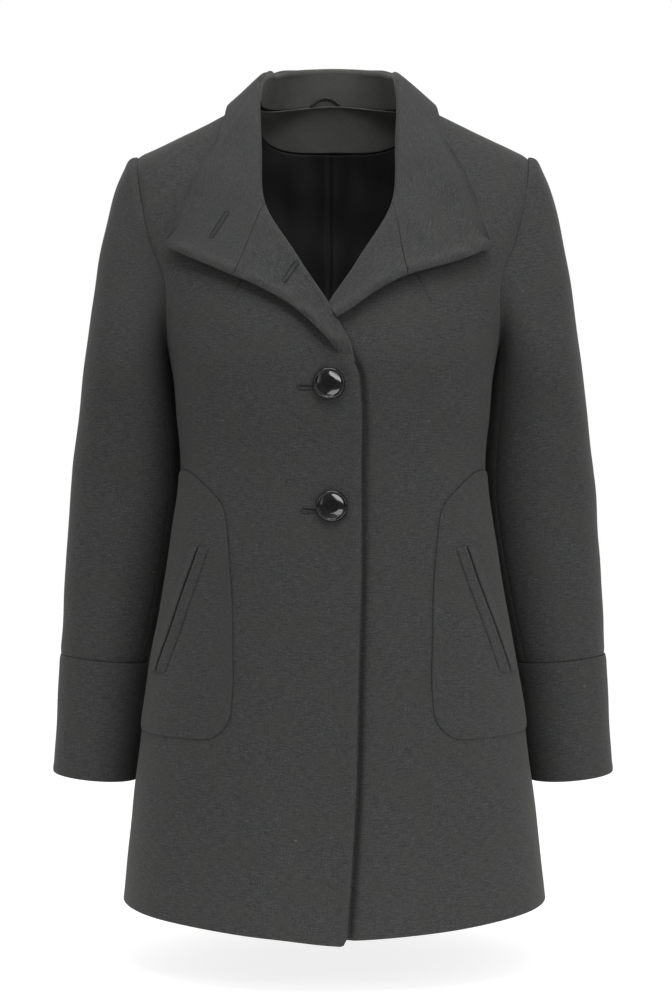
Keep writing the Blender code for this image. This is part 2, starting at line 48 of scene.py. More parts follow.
# Body sections from the shoulder ridge to the hem: height at the middle, drop at the side,
# half width, depth to the front and back, squareness, armhole's share, front edge's place.
bodyForm = {
    "columns": ("z", "drop", "halfWidth", "frontDepth", "backDepth", "square", "armhole", "edge"),
    "sections": (
        (0.058, 0.080, 0.205, 0.000, 0.000, 3.0, 0.951, 0.078),
        (0.051, 0.090, 0.2045, 0.038, 0.075, 3.1, 0.948, 0.074),
        (0.000, 0.075, 0.200, 0.066, 0.098, 3.2, 0.942, 0.070),
        (-0.070, 0.045, 0.190, 0.092, 0.113, 3.0, 0.935, 0.064),
        (-0.140, 0.015, 0.175, 0.118, 0.118, 2.8, 0.925, 0.030),
        (-0.215, 0.000, 0.163, 0.135, 0.118, 2.6, 1.000, -0.0160),
        (-0.270, 0.000, 0.156, 0.133, 0.113, 2.4, 1.000, -0.026),
        (-0.331, 0.000, 0.152, 0.127, 0.107, 2.3, 1.000, -0.026),
        (-0.421, 0.000, 0.163, 0.132, 0.116, 2.3, 1.000, -0.026),
        (-0.521, 0.000, 0.181, 0.142, 0.133, 2.3, 1.000, -0.0236),
        (-0.618, 0.000, 0.195, 0.150, 0.147, 2.3, 1.000, -0.0214),
        (-0.690, -0.004, 0.202, 0.155, 0.157, 2.3, 1.000, -0.0177),
        (-0.7665, -0.0135, 0.209, 0.160, 0.165, 2.3, 1.000, -0.0122),
    ),
    "armpitRow": 5.0,
    "yokeRow": 2.0,
    "skirtRow": 7.0,
    "ridgeSpread": 0.25,        # how softly the shoulder slope starts at the neck
    "neckShare": 0.38,
    "neckDip": 1.13,            # rows that the back's neckline dips at its middle
    "neckMiddle": 0.015,
    "rightOpening": 0.0085,     # by which the right front is open wider down to its break
    "layer": 0.0015,            # parting of the fronts where one lies over the other
    "layerReach": 0.55,
    "wall": 0.0022,
    "seamGap": 0.0003,
}
hemRow = len(bodyForm["sections"]) - 1.0


# Values of one named column of a table of sections.
def tableColumn(form, name):
    return np.array([row[form["columns"].index(name)] for row in form["sections"]])


# A share from 0 to 1, with its start and end made soft.
def soften(share):
    return share**2 * (3 - 2 * share)


# A bell curve: 1 at no distance, falling off over a width.
def bell(distance, width):
    return np.exp(-(distance / width)**2)


# A cubic curve from a start to an end, with its slope at both.
def cubic(t, start, leave, end, arrive):
    return ((2 * t**3 - 3 * t**2 + 1) * start + (t**3 - 2 * t**2 + t) * leave
            + (3 * t**2 - 2 * t**3) * end + (t**3 - t**2) * arrive)


# A smooth curve through evenly spaced values, read at a fractional row.
def alongTable(values, row):
    row = np.clip(np.asarray(row, float), 0, len(values) - 1)
    low = np.clip(np.floor(row).astype(int), 0, len(values) - 2)
    slopes = np.gradient(values)
    return cubic(row - low, values[low], slopes[low], values[low + 1], slopes[low + 1])


def section(name, row):
    return alongTable(tableColumn(bodyForm, name), np.abs(row))


def normalised(vectors):
    return vectors / np.maximum(np.linalg.norm(vectors, axis=-1, keepdims=True), 1e-12)


# How far the shoulder has dropped at a share of the half width: a rounded V, 0 to 1.
def shoulderDrop(share):
    spread = bodyForm["ridgeSpread"]
    return (np.sqrt(share**2 + spread**2) - spread) / (np.sqrt(1 + spread**2) - spread)


# A point of the body: a superellipse of each section's width and depth, dropped at the sides.
# The turn runs from -1 at the right side seam to 1 at the left one, face -1 is the front.
def bodyPoint(turn, row, face):
    share = np.sin(turn * pi / 2)
    square = section("square", row)
    depth = section("frontDepth", row) if face < 0 else section("backDepth", row)
    around = np.maximum(1 - np.abs(share)**square, 0)**(1 / square)
    x = section("halfWidth", row) * share
    y = face * (depth * around + bodyForm["seamGap"] / 2)
    z = section("z", row) - section("drop", row) * shoulderDrop(np.abs(share))
    return np.stack(np.broadcast_arrays(x, y, z), -1)


# The outward normal there, from the cross product of steps across and down the cloth.
def bodyNormal(turn, row, face):
    step = 0.004
    row = np.abs(row)
    across = (bodyPoint(np.minimum(turn + step, 1), row, face)
              - bodyPoint(np.maximum(turn - step, -1), row, face))
    down = (bodyPoint(turn, np.minimum(row + step, hemRow), face)
            - bodyPoint(turn, np.maximum(row - step, 0), face))
    normal = np.cross(down, across) * -face
    onSeam = (np.abs(turn) > 0.9999) | (row < 1e-6)
    normal[..., 1] = np.where(onSeam, 0, normal[..., 1])
    return normalised(normal)


def turnOf(share):
    return np.arcsin(np.clip(share, -1, 1)) * 2 / pi


def armholeTurn(row):
    return turnOf(np.minimum(section("armhole", row), 1))


# The turn of a front's edge.
def edgeTurn(row, side):
    wider = np.clip((row - 0.2) / 0.8, 0, 1) * np.clip((5.5 - row) / 0.7, 0, 1)
    edge = section("edge", row) + (bodyForm["rightOpening"] * wider if side < 0 else 0)
    return turnOf(edge / section("halfWidth", row))


# The row of the body at a distance from the middle and a height, by halving.
def rowAt(x, z):
    x, z = np.broadcast_arrays(np.abs(np.asarray(x, float)), np.asarray(z, float))
    low, high = np.zeros(x.shape), np.full(x.shape, hemRow)
    for _ in range(40):
        middle = (low + high) / 2
        share = np.clip(x / section("halfWidth", middle), 0, 1)
        above = section("z", middle) - section("drop", middle) * shoulderDrop(share) > z
        low, high = np.where(above, middle, low), np.where(above, high, middle)
    return (low + high) / 2


# How far a front is moved out so that the right one lies over the left one.
def layerLift(side, turn):
    fade = np.clip(1 - np.abs(turn) / bodyForm["layerReach"], 0, 1)
    return -side * bodyForm["layer"] * soften(fade)


# A point on the outer face of a front, and its normal; the turn counts from the middle out.
def frontPoint(side, turn, row):
    normal = bodyNormal(turn * side, row, -1)
    return bodyPoint(turn * side, row, -1) + normal * layerLift(side, turn)[..., None], normal


# Distance along the cloth of each grid point from its grid's first and last column and row.
def fromEdges(grid):
    across = np.linalg.norm(np.diff(grid, axis=1), axis=-1).cumsum(1)
    down = np.linalg.norm(np.diff(grid, axis=0), axis=-1).cumsum(0)
    across = np.pad(across, ((0, 0), (1, 0)))
    down = np.pad(down, ((1, 0), (0, 0)))
    return across, across[:, -1:] - across, down, down[-1:] - down


# Soft folds: each is a ridge (or trough, with a negative height) along a line from one x, z
# to another, with a bell-shaped cross-section that fades to nothing at both ends.
def softFolds(points, folds):
    x, z = points[..., 0], points[..., 2]
    rise = np.zeros(x.shape)
    for startX, startZ, endX, endZ, width, height in folds:
        runX, runZ = endX - startX, endZ - startZ
        length = np.hypot(runX, runZ)
        t = ((x - startX) * runX + (z - startZ) * runZ) / length**2
        off = ((x - startX) * runZ - (z - startZ) * runX) / length
        ends = np.clip(4 * t * (1 - t), 0, 1)
        rise += height * ends * bell(off, width)
    return rise


# Slow unevenness of cloth: a sum of plane waves in x and z, with some of y, each with its own
# length, slant, phase and height.
def unevenness(points, waves):
    x, y, z = points[..., 0], points[..., 1], points[..., 2]
    rise = np.zeros(x.shape)
    for length, slant, phase, height in waves:
        along = x * np.cos(slant) + (z + 0.35 * y) * np.sin(slant)
        rise += height * np.sin(2 * pi * along / length + phase)
    return rise


# Points as the camera sees them, in metres on the plane y = 0, x to the right and z up.
def frontView(points):
    scale = viewer["distance"] / (viewer["distance"] + points[..., 1])
    right, up = points[..., 0] - viewer["x"], points[..., 2] - viewer["z"]
    return np.stack((right * scale, up * scale), -1)


# Distance along a path of each of its points.
def pathReach(path):
    return np.pad(np.linalg.norm(np.diff(path, axis=0), axis=1).cumsum(), (1, 0))


# Values along a path, read at other distances.
def readAlong(at, reach, values):
    return np.stack([np.interp(at, reach, column) for column in values.T], -1)


# A path given in photo pixels, laid on a surface: each point is the bell-weighted mean of the
# surface points that the camera sees nearest to it.
def onSurface(grid, normal, pixels, count):
    pixels = np.array(pixels, float)
    reach = pathReach(pixels)
    path = readAlong(np.linspace(0, reach[-1], count), reach, pixels)
    path = (path - viewer["centre"]) * (viewer["pixel"], -viewer["pixel"])
    facing = normal[..., 1].reshape(-1) < 0.1
    cloth, lift = grid.reshape(-1, 3)[facing], normal.reshape(-1, 3)[facing]
    away = np.linalg.norm(frontView(cloth)[None] - path[:, None], axis=-1)
    weight = bell(away, 0.0022)
    weight /= weight.sum(1, keepdims=True)
    return weight @ cloth, normalised(weight @ lift)


# A new object in the scene, at the origin.
def addObject(name, data):
    thing = bpy.data.objects.new(name, data)
    bpy.context.scene.collection.objects.link(thing)
    return thing


# One node with its settings, and links from other nodes' outputs to its inputs.
def addNode(material, kind, settings=None, **inputs):
    node = material.node_tree.nodes.new(kind)
    for name, value in (settings or {}).items():
        setattr(node, name, value)
    for name, value in inputs.items():
        key = int(name[1:]) if name[1:].isdigit() else name.replace("_", " ")
        if isinstance(value, bpy.types.NodeSocket):
            material.node_tree.links.new(value, node.inputs[key])
        else:
            node.inputs[key].default_value = value
    return node


# An sRGB hex colour as linear red, green, blue and alpha.
def hexColour(text):
    value = np.array([int(text[i:i + 2], 16) for i in (1, 3, 5)]) / 255
    linear = np.where(value <= 0.04045, value / 12.92, ((value + 0.055) / 1.055)**2.4)
    return (*linear.tolist(), 1)


# A material with its shader's constants set on the shader's own sockets.
def startMaterial(name, **constants):
    material = bpy.data.materials.new(name)
    material.use_nodes = True
    shader = material.node_tree.nodes["Principled BSDF"]
    for key, value in constants.items():
        shader.inputs[key.replace("_", " ")].default_value = value
    return material, shader


# Links outputs to a shader's sockets.
def linkShader(material, shader, **outputs):
    for key, output in outputs.items():
        material.node_tree.links.new(output, shader.inputs[key.replace("_", " ")])


def clothMap(material):
    return addNode(material, "ShaderNodeUVMap", {"uv_map": "cloth"}).outputs["UV"]


# A map stretched so that a unit is as long and as wide as given.
def addStretch(material, vector, length, width, **settings):
    scale = (1 / length, 1 / width, 1)
    return addNode(material, "ShaderNodeMapping", Vector=vector, Scale=scale, **settings).outputs["Vector"]


def addNoise(material, vector, size=1.0, **settings):
    return addNode(material, "ShaderNodeTexNoise", Vector=vector, Scale=1 / size, **settings).outputs["Fac"]


# A value times a factor, plus another value.
def addScaled(material, value, factor, other):
    return addNode(material, "ShaderNodeMath", {"operation": "MULTIPLY_ADD"}, _0=value, _1=factor,
                   _2=other).outputs["Value"]


def addRange(material, value, settings=None, **ends):
    return addNode(material, "ShaderNodeMapRange", settings, Value=value, **ends).outputs["Result"]


def addMix(material, factor, first, second):
    return addNode(material, "ShaderNodeMix", {"data_type": "RGBA"}, Factor=factor, _6=first,
                   _7=second).outputs[2]


def addBump(material, height, strength, distance):
    return addNode(material, "ShaderNodeBump", Strength=strength, Distance=distance,
                   Height=height).outputs["Normal"]


# Wool coating: melange yarn, woven plain, fulled and brushed. Dark and light fibres mix to a
# soft grey, thicker weft yarns show as faint level streaks, and the nap hides the weave and
# catches light at the edges. A few pale fibres lie loose on it.
woolFinish = {
    "dark": "#2b2c2d", "middle": "#3f4040", "light": "#565654", "olive": "#43443f", "lint": "#7d7c78",
    "fibre": 0.0011,        # real fibres are 0.02 mm, drawn as 1.1 mm tufts so that they show
    "slub": (0.0085, 0.0012),   # length and width of a thick yarn
    "blotch": 0.030,
    "nap": 0.0006,
    "lintSpread": (0.0060, 0.0014),
}


# Its last argument shifts the whole colour ramp up or down, for painted lit and painted shaded copies of
# the coating.
def woolMaterial(name, finish, paintedLightShift=0.0):
    material, shader = startMaterial(
        name, Roughness=0.95, Metallic=0.0, IOR=1.45, Specular_IOR_Level=0.18,
        Sheen_Weight=0.16, Sheen_Roughness=0.45, Sheen_Tint=hexColour("#b9b8b4"))
    cloth = clothMap(material)
    length, width = finish["slub"]
    streak = {"Detail": 2.5, "Roughness": 0.6, "Distortion": 0.25}
    fibre = addNoise(material, cloth, finish["fibre"], Detail=2.0, Roughness=0.65)
    slub = addNoise(material, addStretch(material, cloth, length, width), **streak)
    blotch = addNoise(material, cloth, finish["blotch"], Detail=3.0, Roughness=0.55)
    spread = addStretch(material, cloth, *finish["lintSpread"], Rotation=(0, 0, 0.6))
    lint = addNoise(material, spread, Detail=1.0, Roughness=0.4, Distortion=0.8)
    upright = addStretch(material, cloth, width, length, Location=(3.1, 1.7, 0))
    warp = addNoise(material, upright, **streak)
    woven = addScaled(material, warp, 0.5, slub)
    mixed = addScaled(material, woven, 0.60, fibre)
    shade = addRange(material, mixed, From_Min=0.66, From_Max=1.24, To_Min=paintedLightShift, To_Max=1.0 + paintedLightShift)
    ramp = addNode(material, "ShaderNodeValToRGB", Fac=shade)
    ramp.color_ramp.elements[0].color = hexColour(finish["dark"])
    ramp.color_ramp.elements[1].color = hexColour(finish["light"])
    ramp.color_ramp.elements.new(0.5).color = hexColour(finish["middle"])
    patch = addRange(material, blotch, From_Min=0.42, From_Max=0.72, To_Min=0.0, To_Max=0.42)
    tinted = addMix(material, patch, ramp.outputs["Color"], hexColour(finish["olive"]))
    speck = addRange(material, lint, From_Min=0.785, From_Max=0.82, To_Min=0.0, To_Max=0.5)
    colour = addMix(material, speck, tinted, hexColour(finish["lint"]))
    nap = addNoise(material, cloth, finish["nap"], Detail=2.0, Roughness=0.6)
    bump = addBump(material, addScaled(material, slub, 0.45, nap), 0.32, 0.0005)
    linkShader(material, shader, Base_Color=colour, Normal=bump)
    return material


# Satin lining: filament yarn, warp-faced. Nearly black, with a soft sheen along its folds and
# the faintest lines of the warp.
liningFinish = {"deep": "#0b0b0c", "pale": "#151517", "warp": (0.0009, 1 / 6), "cloud": 0.02}


def liningMaterial(name, finish):
    material, shader = startMaterial(
        name, Metallic=0.0, IOR=1.5, Specular_IOR_Level=0.35, Sheen_Weight=0.06, Sheen_Roughness=0.4)
    cloth = clothMap(material)
    warp = addNoise(material, addStretch(material, cloth, *finish["warp"]), Detail=1.0)
    cloud = addNoise(material, cloth, finish["cloud"], Detail=2.0)
    colour = addMix(material, warp, hexColour(finish["deep"]), hexColour(finish["pale"]))
    rough = addRange(material, cloud, To_Min=0.44, To_Max=0.6)
    linkShader(material, shader, Base_Color=colour, Roughness=rough,
               Normal=addBump(material, warp, 0.15, 0.0002))
    return material


# Polyester resin: turned from sheet and tumbled to a gloss. Black, mirror-like, with the
# slightest clouding of the polish.
resinFinish = {"deep": "#040405", "pale": "#0c0c0d", "cloud": 0.006}


def resinMaterial(name, finish):
    material, shader = startMaterial(name, Metallic=0.0, IOR=1.60, Coat_Weight=0.5, Coat_Roughness=0.02)
    spot = addNode(material, "ShaderNodeTexCoord").outputs["Object"]
    cloud = addNoise(material, spot, finish["cloud"], Detail=2.0)
    colour = addMix(material, cloud, hexColour(finish["deep"]), hexColour(finish["pale"]))
    rough = addRange(material, cloud, To_Min=0.06, To_Max=0.13)
    linkShader(material, shader, Base_Color=colour, Roughness=rough)
    return material


# Buttonhole twist: polyester core thread, three plies. Darker than the wool, a little shiny,
# with the plies as slanting ribs.
threadFinish = {"deep": "#17181a", "pale": "#303133", "ply": 0.0006}


def threadMaterial(name, finish):
    material, shader = startMaterial(name, Roughness=0.7, Metallic=0.0, IOR=1.5, Specular_IOR_Level=0.3)
    slant = addStretch(material, clothMap(material), 1, 1, Rotation=(0, 0, 0.5))
    ply = addNode(material, "ShaderNodeTexWave", Vector=slant, Scale=1 / finish["ply"] / 20,
                  Distortion=1.0, Detail=1.0).outputs["Fac"]
    colour = addMix(material, ply, hexColour(finish["deep"]), hexColour(finish["pale"]))
    linkShader(material, shader, Base_Color=colour, Normal=addBump(material, ply, 0.4, 0.0002))
    return material


coating = woolMaterial("brushed_wool_coating", woolFinish)
# The collar's and lapels' copy is a little darker: painted shade, toning down where the light falls
# strongest.
paintedShadeCollar = woolMaterial("brushed_wool_collar_painted_shade", woolFinish, -0.04)
# The facing's copy is much brighter: painted light, standing in for light that barely reaches inside the
# neck.
paintedLightFacing = woolMaterial("brushed_wool_facing_painted_light", woolFinish, 0.52)
satin = liningMaterial("satin_lining", liningFinish)
resin = resinMaterial("polished_resin", resinFinish)
twist = threadMaterial("buttonhole_twist", threadFinish)
print("materials made")


# A cloth wall between an outer and an inner grid of points, with rims. Seen from outside, rows
# run down and columns to the right, so all faces point outwards. Its uv map is in metres,
# counted up from the last row, or across it where the cloth is turned; a bevel rounds the rims.
# A second look is for the inside past the faced columns, or for the outside of a stand's columns.
def addShell(name, outer, inner, looks, rounding, closed=False, turned=False, faced=0, stand=0):
    down, right = outer[1:, :-1] - outer[:-1, :-1], outer[:-1, 1:] - outer[:-1, :-1]
    lined = np.arange(outer.shape[1] - (not closed)) >= faced
    stood = np.arange(outer.shape[1] - (not closed)) < stand
    if np.sum(np.cross(down, right) * (outer - inner)[:-1, :-1]) < 0:
        outer, inner = outer[:, ::-1], inner[:, ::-1]
        lined, stood = lined[::-1], stood[::-1]
    rows, columns = outer.shape[:2]
    whole = np.concatenate((outer, outer[:, :1]), 1) if closed else outer
    wide = whole.shape[1]
    across, _, _, up = fromEdges(whole)
    weave = (up, across) if turned else (across, up)
    uv = np.tile(np.stack(weave, -1).reshape(-1, 2), (2, 1))
    grid = np.arange(rows * wide).reshape(rows, wide)
    back = grid + grid.size
    outside = np.stack((grid[:-1, :-1], grid[1:, :-1], grid[1:, 1:], grid[:-1, 1:]), -1).reshape(-1, 4)
    inside = outside[:, [0, 3, 2, 1]] + grid.size
    rims = [np.stack((grid[0, :-1], grid[0, 1:], back[0, 1:], back[0, :-1]), -1),
            np.stack((grid[-1, 1:], grid[-1, :-1], back[-1, :-1], back[-1, 1:]), -1)]
    if not closed:
        rims.append(np.stack((grid[1:, 0], grid[:-1, 0], back[:-1, 0], back[1:, 0]), -1))
        rims.append(np.stack((grid[:-1, -1], grid[1:, -1], back[1:, -1], back[:-1, -1]), -1))
    faces = np.concatenate((outside, *rims, inside))
    cell = faces % grid.size
    vertex = cell // wide * columns + cell % wide % columns + (faces >= grid.size) * rows * columns
    points = np.concatenate((outer.reshape(-1, 3), inner.reshape(-1, 3)))
    mesh = bpy.data.meshes.new(name)
    mesh.from_pydata(points.tolist(), [], vertex.tolist())
    mesh.uv_layers.new(name="cloth").uv.foreach_set("vector", uv[faces].astype(np.float32).ravel())
    for look in looks:
        mesh.materials.append(look)
    lookOf = np.zeros(len(faces), np.int32)
    if stand:
        lookOf[:len(outside)] = np.tile(stood, rows - 1)
    elif len(looks) > 1:
        lookOf[-len(inside):] = np.tile(lined, rows - 1)
    mesh.polygons.foreach_set("material_index", lookOf)
    mesh.shade_smooth()
    piece = addObject(name, mesh)
    bevel = piece.modifiers.new("rounded_rims", "BEVEL")
    bevel.width = rounding
    bevel.segments = 3
    bevel.limit_method = "ANGLE"
    bevel.angle_limit = 0.9
    return piece


# A cloth piece rides on the coat and stands for its solid, which is hidden; its grid is measured along the
# cloth, but the lengths are not kept.
def sew(piece, node, grid):
    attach(piece, "root")
    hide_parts(node)
    across, _, down, _ = fromEdges(grid)


# Rows of cloth down the body: crowded to the shoulder seam and the armpit, even below.
bodyRows = np.concatenate((np.linspace(0, bodyForm["yokeRow"], 33)[:-1],
                           np.linspace(bodyForm["yokeRow"], bodyForm["armpitRow"], 45)[:-1],
                           np.linspace(bodyForm["armpitRow"], hemRow, 106)))
armholeRows = bodyRows[bodyRows <= bodyForm["armpitRow"] + 1e-9]

frontDress = {
    "folds": {
        -1: ((-0.160, -0.200, -0.060, -0.265, 0.016, 0.0008),
             (-0.158, -0.285, -0.070, -0.330, 0.014, -0.0007),
             (-0.150, -0.335, -0.075, -0.350, 0.012, 0.0008),
             (-0.165, -0.120, -0.140, -0.230, 0.012, 0.0010),
             (-0.060, -0.600, -0.075, -0.790, 0.022, 0.0012),
             (-0.135, -0.620, -0.150, -0.800, 0.020, -0.0012)),
        1: ((0.160, -0.200, 0.075, -0.255, 0.016, 0.0008),
            (0.155, -0.290, 0.085, -0.325, 0.014, -0.0007),
            (0.150, -0.338, 0.070, -0.356, 0.012, 0.0008),
            (0.165, -0.125, 0.142, -0.235, 0.012, 0.0010),
            (0.070, -0.590, 0.080, -0.790, 0.022, -0.0012),
            (0.140, -0.615, 0.160, -0.800, 0.020, 0.0012)),
    },
    "waves": ((0.120, 1.2, 0.4, 0.0004), (0.085, 2.1, 1.9, 0.0003), (0.051, 0.7, 3.0, 0.00018)),
    "flutes": ((0.150, 0.05, 0.6, 0.0013), (0.093, -0.08, 2.2, 0.0008)),
    "calm": 0.22,               # turns from the front edge over which the folds grow
    "seamDip": 0.0009,
    "seamWidth": 0.0035,
    "edgeRoll": 0.0011,         # the turned facing makes the front edge thicker
    "edgeRollWidth": 0.005,
    "edgeRollAway": 0.006,
    "lapRow": 4.6,              # the row from which one front lies over the other
    "edgeLift": 0.0034,         # the lapping front stands off the one below
    "edgeLiftWidth": 0.014,
    "underSink": 0.0056,        # and that one sinks beside the lapping edge
    "underWidth": 0.0038,
    "underAway": 0.0015,
    "underColumns": (0.05, 0.20, 20),   # more columns there, as a share of the front's width
    "faced": 36,                # columns from the front edge that a wool facing covers inside
    "corner": 0.006,            # radius of the hem's front corner
    "cornerRow": 10,            # the row from which that corner draws in
    "hemWidth": 0.36,
    "hemSag": 0.0045,           # the lapping front hangs lower at its corner
    "sagWidth": 0.055,
    "rounding": 0.0009,
}


# Folds and waves of the body's cloth, which grow to flutes in the skirt.
def drape(points, row, dress, folds):
    skirt = np.clip((row - bodyForm["skirtRow"]) / (hemRow - bodyForm["skirtRow"]), 0, 1)
    return (softFolds(points, folds) + unevenness(points, dress["waves"])
            + skirt * unevenness(points, dress["flutes"]))


# The outer face of a front with its folds: the plain point moved along its normal by the
# drape, which fades out at the front edge.
def frontCloth(side, turn, row):
    point, normal = frontPoint(side, turn, row)
    fade = soften(np.clip((turn - edgeTurn(row, side)) / frontDress["calm"], 0, 1))
    rise = drape(point, row, frontDress, frontDress["folds"][side])
    return point + normal * (rise * fade)[..., None], normal


# How far cloth sinks to a seam: a bell of the distance from it.
def seamDip(distance, depth, width):
    return depth * bell(distance, width)


# A front from its inner edge to the armhole and side seam, its hem corner an arc of a circle.
def addFront(side, word):
    columns = np.linspace(0, 1, 101)**1.08
    if side > 0:
        columns = np.sort(np.concatenate((columns, np.linspace(*frontDress["underColumns"]))))
    row = np.repeat(bodyRows[:, None], len(columns), 1)
    reach = columns * frontDress["hemWidth"]
    radius, bendRow = frontDress["corner"], frontDress["cornerRow"]
    past = np.clip(1 - reach / radius, 0, 1)
    lastStep = bodyForm["sections"][-2][0] - bodyForm["sections"][-1][0]
    corner = radius * (1 - np.sqrt(1 - past**2)) / lastStep
    row = np.where(row > bendRow, bendRow + (row - bendRow) * (1 - corner / 2), row)
    turn = edgeTurn(row, side) + (armholeTurn(row) - edgeTurn(row, side)) * columns
    outer, normal = frontCloth(side, turn, row)
    if side < 0:
        outer[..., 2] -= frontDress["hemSag"] * (row / hemRow)**10 * bell(reach, frontDress["sagWidth"])
    fromFront, fromSide, fromShoulder, _ = fromEdges(outer)
    below = np.clip((row - frontDress["lapRow"]) / 0.8, 0, 1)
    if side < 0:
        lift = frontDress["edgeLift"] * below * bell(fromFront, frontDress["edgeLiftWidth"])
    else:
        lapping = frontPoint(-1, edgeTurn(row, -1), row)[0][..., 0]
        away = outer[..., 0] - lapping - frontDress["underAway"]
        lift = -frontDress["underSink"] * below * bell(away, frontDress["underWidth"])
    outer = outer + normal * lift[..., None]
    inner = outer - normal * bodyForm["wall"]
    dip = (seamDip(fromSide, frontDress["seamDip"], frontDress["seamWidth"])
           + seamDip(fromShoulder, frontDress["seamDip"], frontDress["seamWidth"])
           - seamDip(fromFront - frontDress["edgeRollAway"], frontDress["edgeRoll"],
                     frontDress["edgeRollWidth"]))
    cloth = outer - normal * dip[..., None]
    piece = addShell(f"{word}_front_cloth", cloth, inner, (coating, satin), frontDress["rounding"],
                     faced=frontDress["faced"])
    sew(piece, f"{word}_front", cloth)
    print("sewn", piece.name)
    return cloth, normal


backDress = {
    "folds": ((-0.150, -0.150, -0.060, -0.190, 0.018, 0.0012),
              (0.152, -0.145, 0.055, -0.200, 0.018, 0.0012),
              (-0.140, -0.300, 0.020, -0.325, 0.014, 0.0010),
              (0.145, -0.310, -0.010, -0.345, 0.014, -0.0009),
              (-0.070, -0.500, -0.090, -0.800, 0.026, 0.0020),
              (0.080, -0.480, 0.100, -0.800, 0.028, 0.0018),
              (0.005, -0.480, 0.000, -0.800, 0.024, -0.0018)),
    "waves": ((0.130, 1.1, 0.9, 0.0005), (0.090, 2.2, 0.3, 0.0003), (0.055, 0.6, 1.4, 0.0002)),
    "flutes": ((0.140, 0.04, 1.1, 0.0014), (0.088, -0.10, 0.3, 0.0008)),
    "rounding": 0.0009,
}


# The back's neckline: a round dip between the neck points, as a row at a share of the width.
def necklineRow(turn):
    share = np.sin(turn * pi / 2) / bodyForm["neckShare"]
    return bodyForm["neckDip"] * np.sqrt(np.clip(1 - share**2, 0, 1))


# Turns and rows of cloth on the back, for columns from -1 to 1 and rows down from its top edge.
def backGrid(columns, rows):
    top = necklineRow(columns * armholeTurn(0))
    row = top + rows[:, None] * (1 - top / hemRow)
    return columns * armholeTurn(row), row


def addBack():
    around = bodyForm["neckShare"] * np.sin(np.linspace(-pi / 2, pi / 2, 61))
    neck = turnOf(around) / armholeTurn(0)
    columns = np.concatenate((np.linspace(-1, neck[0], 44)[:-1], neck, np.linspace(neck[-1], 1, 44)[1:]))
    turn, row = backGrid(columns, bodyRows)
    outer, normal = bodyPoint(turn, row, 1), bodyNormal(turn, row, 1)
    rise = drape(outer, row, backDress, backDress["folds"])
    fromRight, fromLeft, fromTop, _ = fromEdges(outer)
    side = np.minimum(fromRight, fromLeft)
    calm = np.clip(np.minimum(side, fromTop) / 0.03, 0, 1)
    inner = outer - normal * bodyForm["wall"]
    dip = (seamDip(side, frontDress["seamDip"], frontDress["seamWidth"])
           + seamDip(fromTop, frontDress["seamDip"], frontDress["seamWidth"]))
    lift = np.maximum(rise, -0.0008) * calm
    cloth = outer + normal * (lift - dip)[..., None]
    piece = addShell("back_cloth", cloth, inner + normal * np.maximum(lift, 0)[..., None] * 0.6,
                     (coating, satin), backDress["rounding"])
    sew(piece, "back", cloth)
    print("sewn", piece.name)


# Sleeve sections below the armhole: height, outer and inner side, middle and half depth.
sleeveForm = {
    "columns": ("z", "outer", "inner", "middle", "halfDepth"),
    "sections": (
        (-0.250, 0.2520, 0.1602, 0.010, 0.0650),
        (-0.300, 0.2592, 0.1552, 0.022, 0.0625),
        (-0.350, 0.2655, 0.1540, 0.030, 0.0610),
        (-0.400, 0.2695, 0.1605, 0.035, 0.0595),
        (-0.460, 0.2733, 0.1722, 0.036, 0.0580),
        (-0.5195, 0.2761, 0.1850, 0.034, 0.0560),
        (-0.575, 0.2787, 0.1925, 0.032, 0.0540),
        (-0.638, 0.2820, 0.1990, 0.032, 0.0530),
    ),
    "cuffTilt": 0.10,           # slope of the rings, outer side higher
    "cuffStep": 5.0,            # sections at which the cuff starts and ends
    "hemStep": 7.0,
    "underSleeve": (0.80 * pi, 1.30 * pi),
    "armholeGap": 0.0005,
    "seam": 0.0004,             # taken off each side of a long seam
    "rope": 0.0022,             # roll of the sleeve head at the shoulder
    "ropeWidth": 0.008,
    "slack": 0.0075,            # the under sleeve hangs in towards the body below the armhole
    "slackSpan": (-0.385, -0.165),
    "slackFade": 0.05,
    "slackAngle": 1.15 * pi,
    "slackSpread": 0.14 * pi,
    "folds": ((0.215, -0.300, 0.262, -0.335, 0.013, 0.0012),
              (0.176, -0.335, 0.240, -0.372, 0.012, -0.0011),
              (0.205, -0.385, 0.268, -0.400, 0.013, 0.0012),
              (0.185, -0.420, 0.250, -0.452, 0.014, 0.0010),
              (0.200, -0.200, 0.245, -0.290, 0.015, 0.0010),
              (0.215, -0.470, 0.270, -0.490, 0.013, -0.0009)),
    "waves": ((0.090, 1.3, 0.2, 0.0003), (0.062, 2.0, 1.7, 0.0002), (0.041, 0.9, 2.6, 0.0001)),
    "rounding": 0.0008,
}
cuffDress = {"proud": 0.0010, "rounding": 0.0009, "seamDip": 0.0008, "hemRoll": 0.0006}


def sleeveColumn(name, step):
    return alongTable(tableColumn(sleeveForm, name), step)


# A ring of the sleeve at a fractional section: an ellipse, tilted as the cuff is. The angle is
# 0 at the outer side, a quarter turn at the front and half a turn at the inner side.
def sleeveRing(side, angle, step, proud=0.0):
    outer, inner = sleeveColumn("outer", step), sleeveColumn("inner", step)
    tilt = sleeveForm["cuffTilt"] * np.clip(step / 4, 0, 1)
    offset = ((outer - inner) / 2 + proud) * np.cos(angle)
    x = (outer + inner) / 2 + offset
    y = sleeveColumn("middle", step) - (sleeveColumn("halfDepth", step) + proud) * np.sin(angle)
    z = sleeveColumn("z", step) + tilt * offset
    return np.stack(np.broadcast_arrays(side * x, y, z), -1)


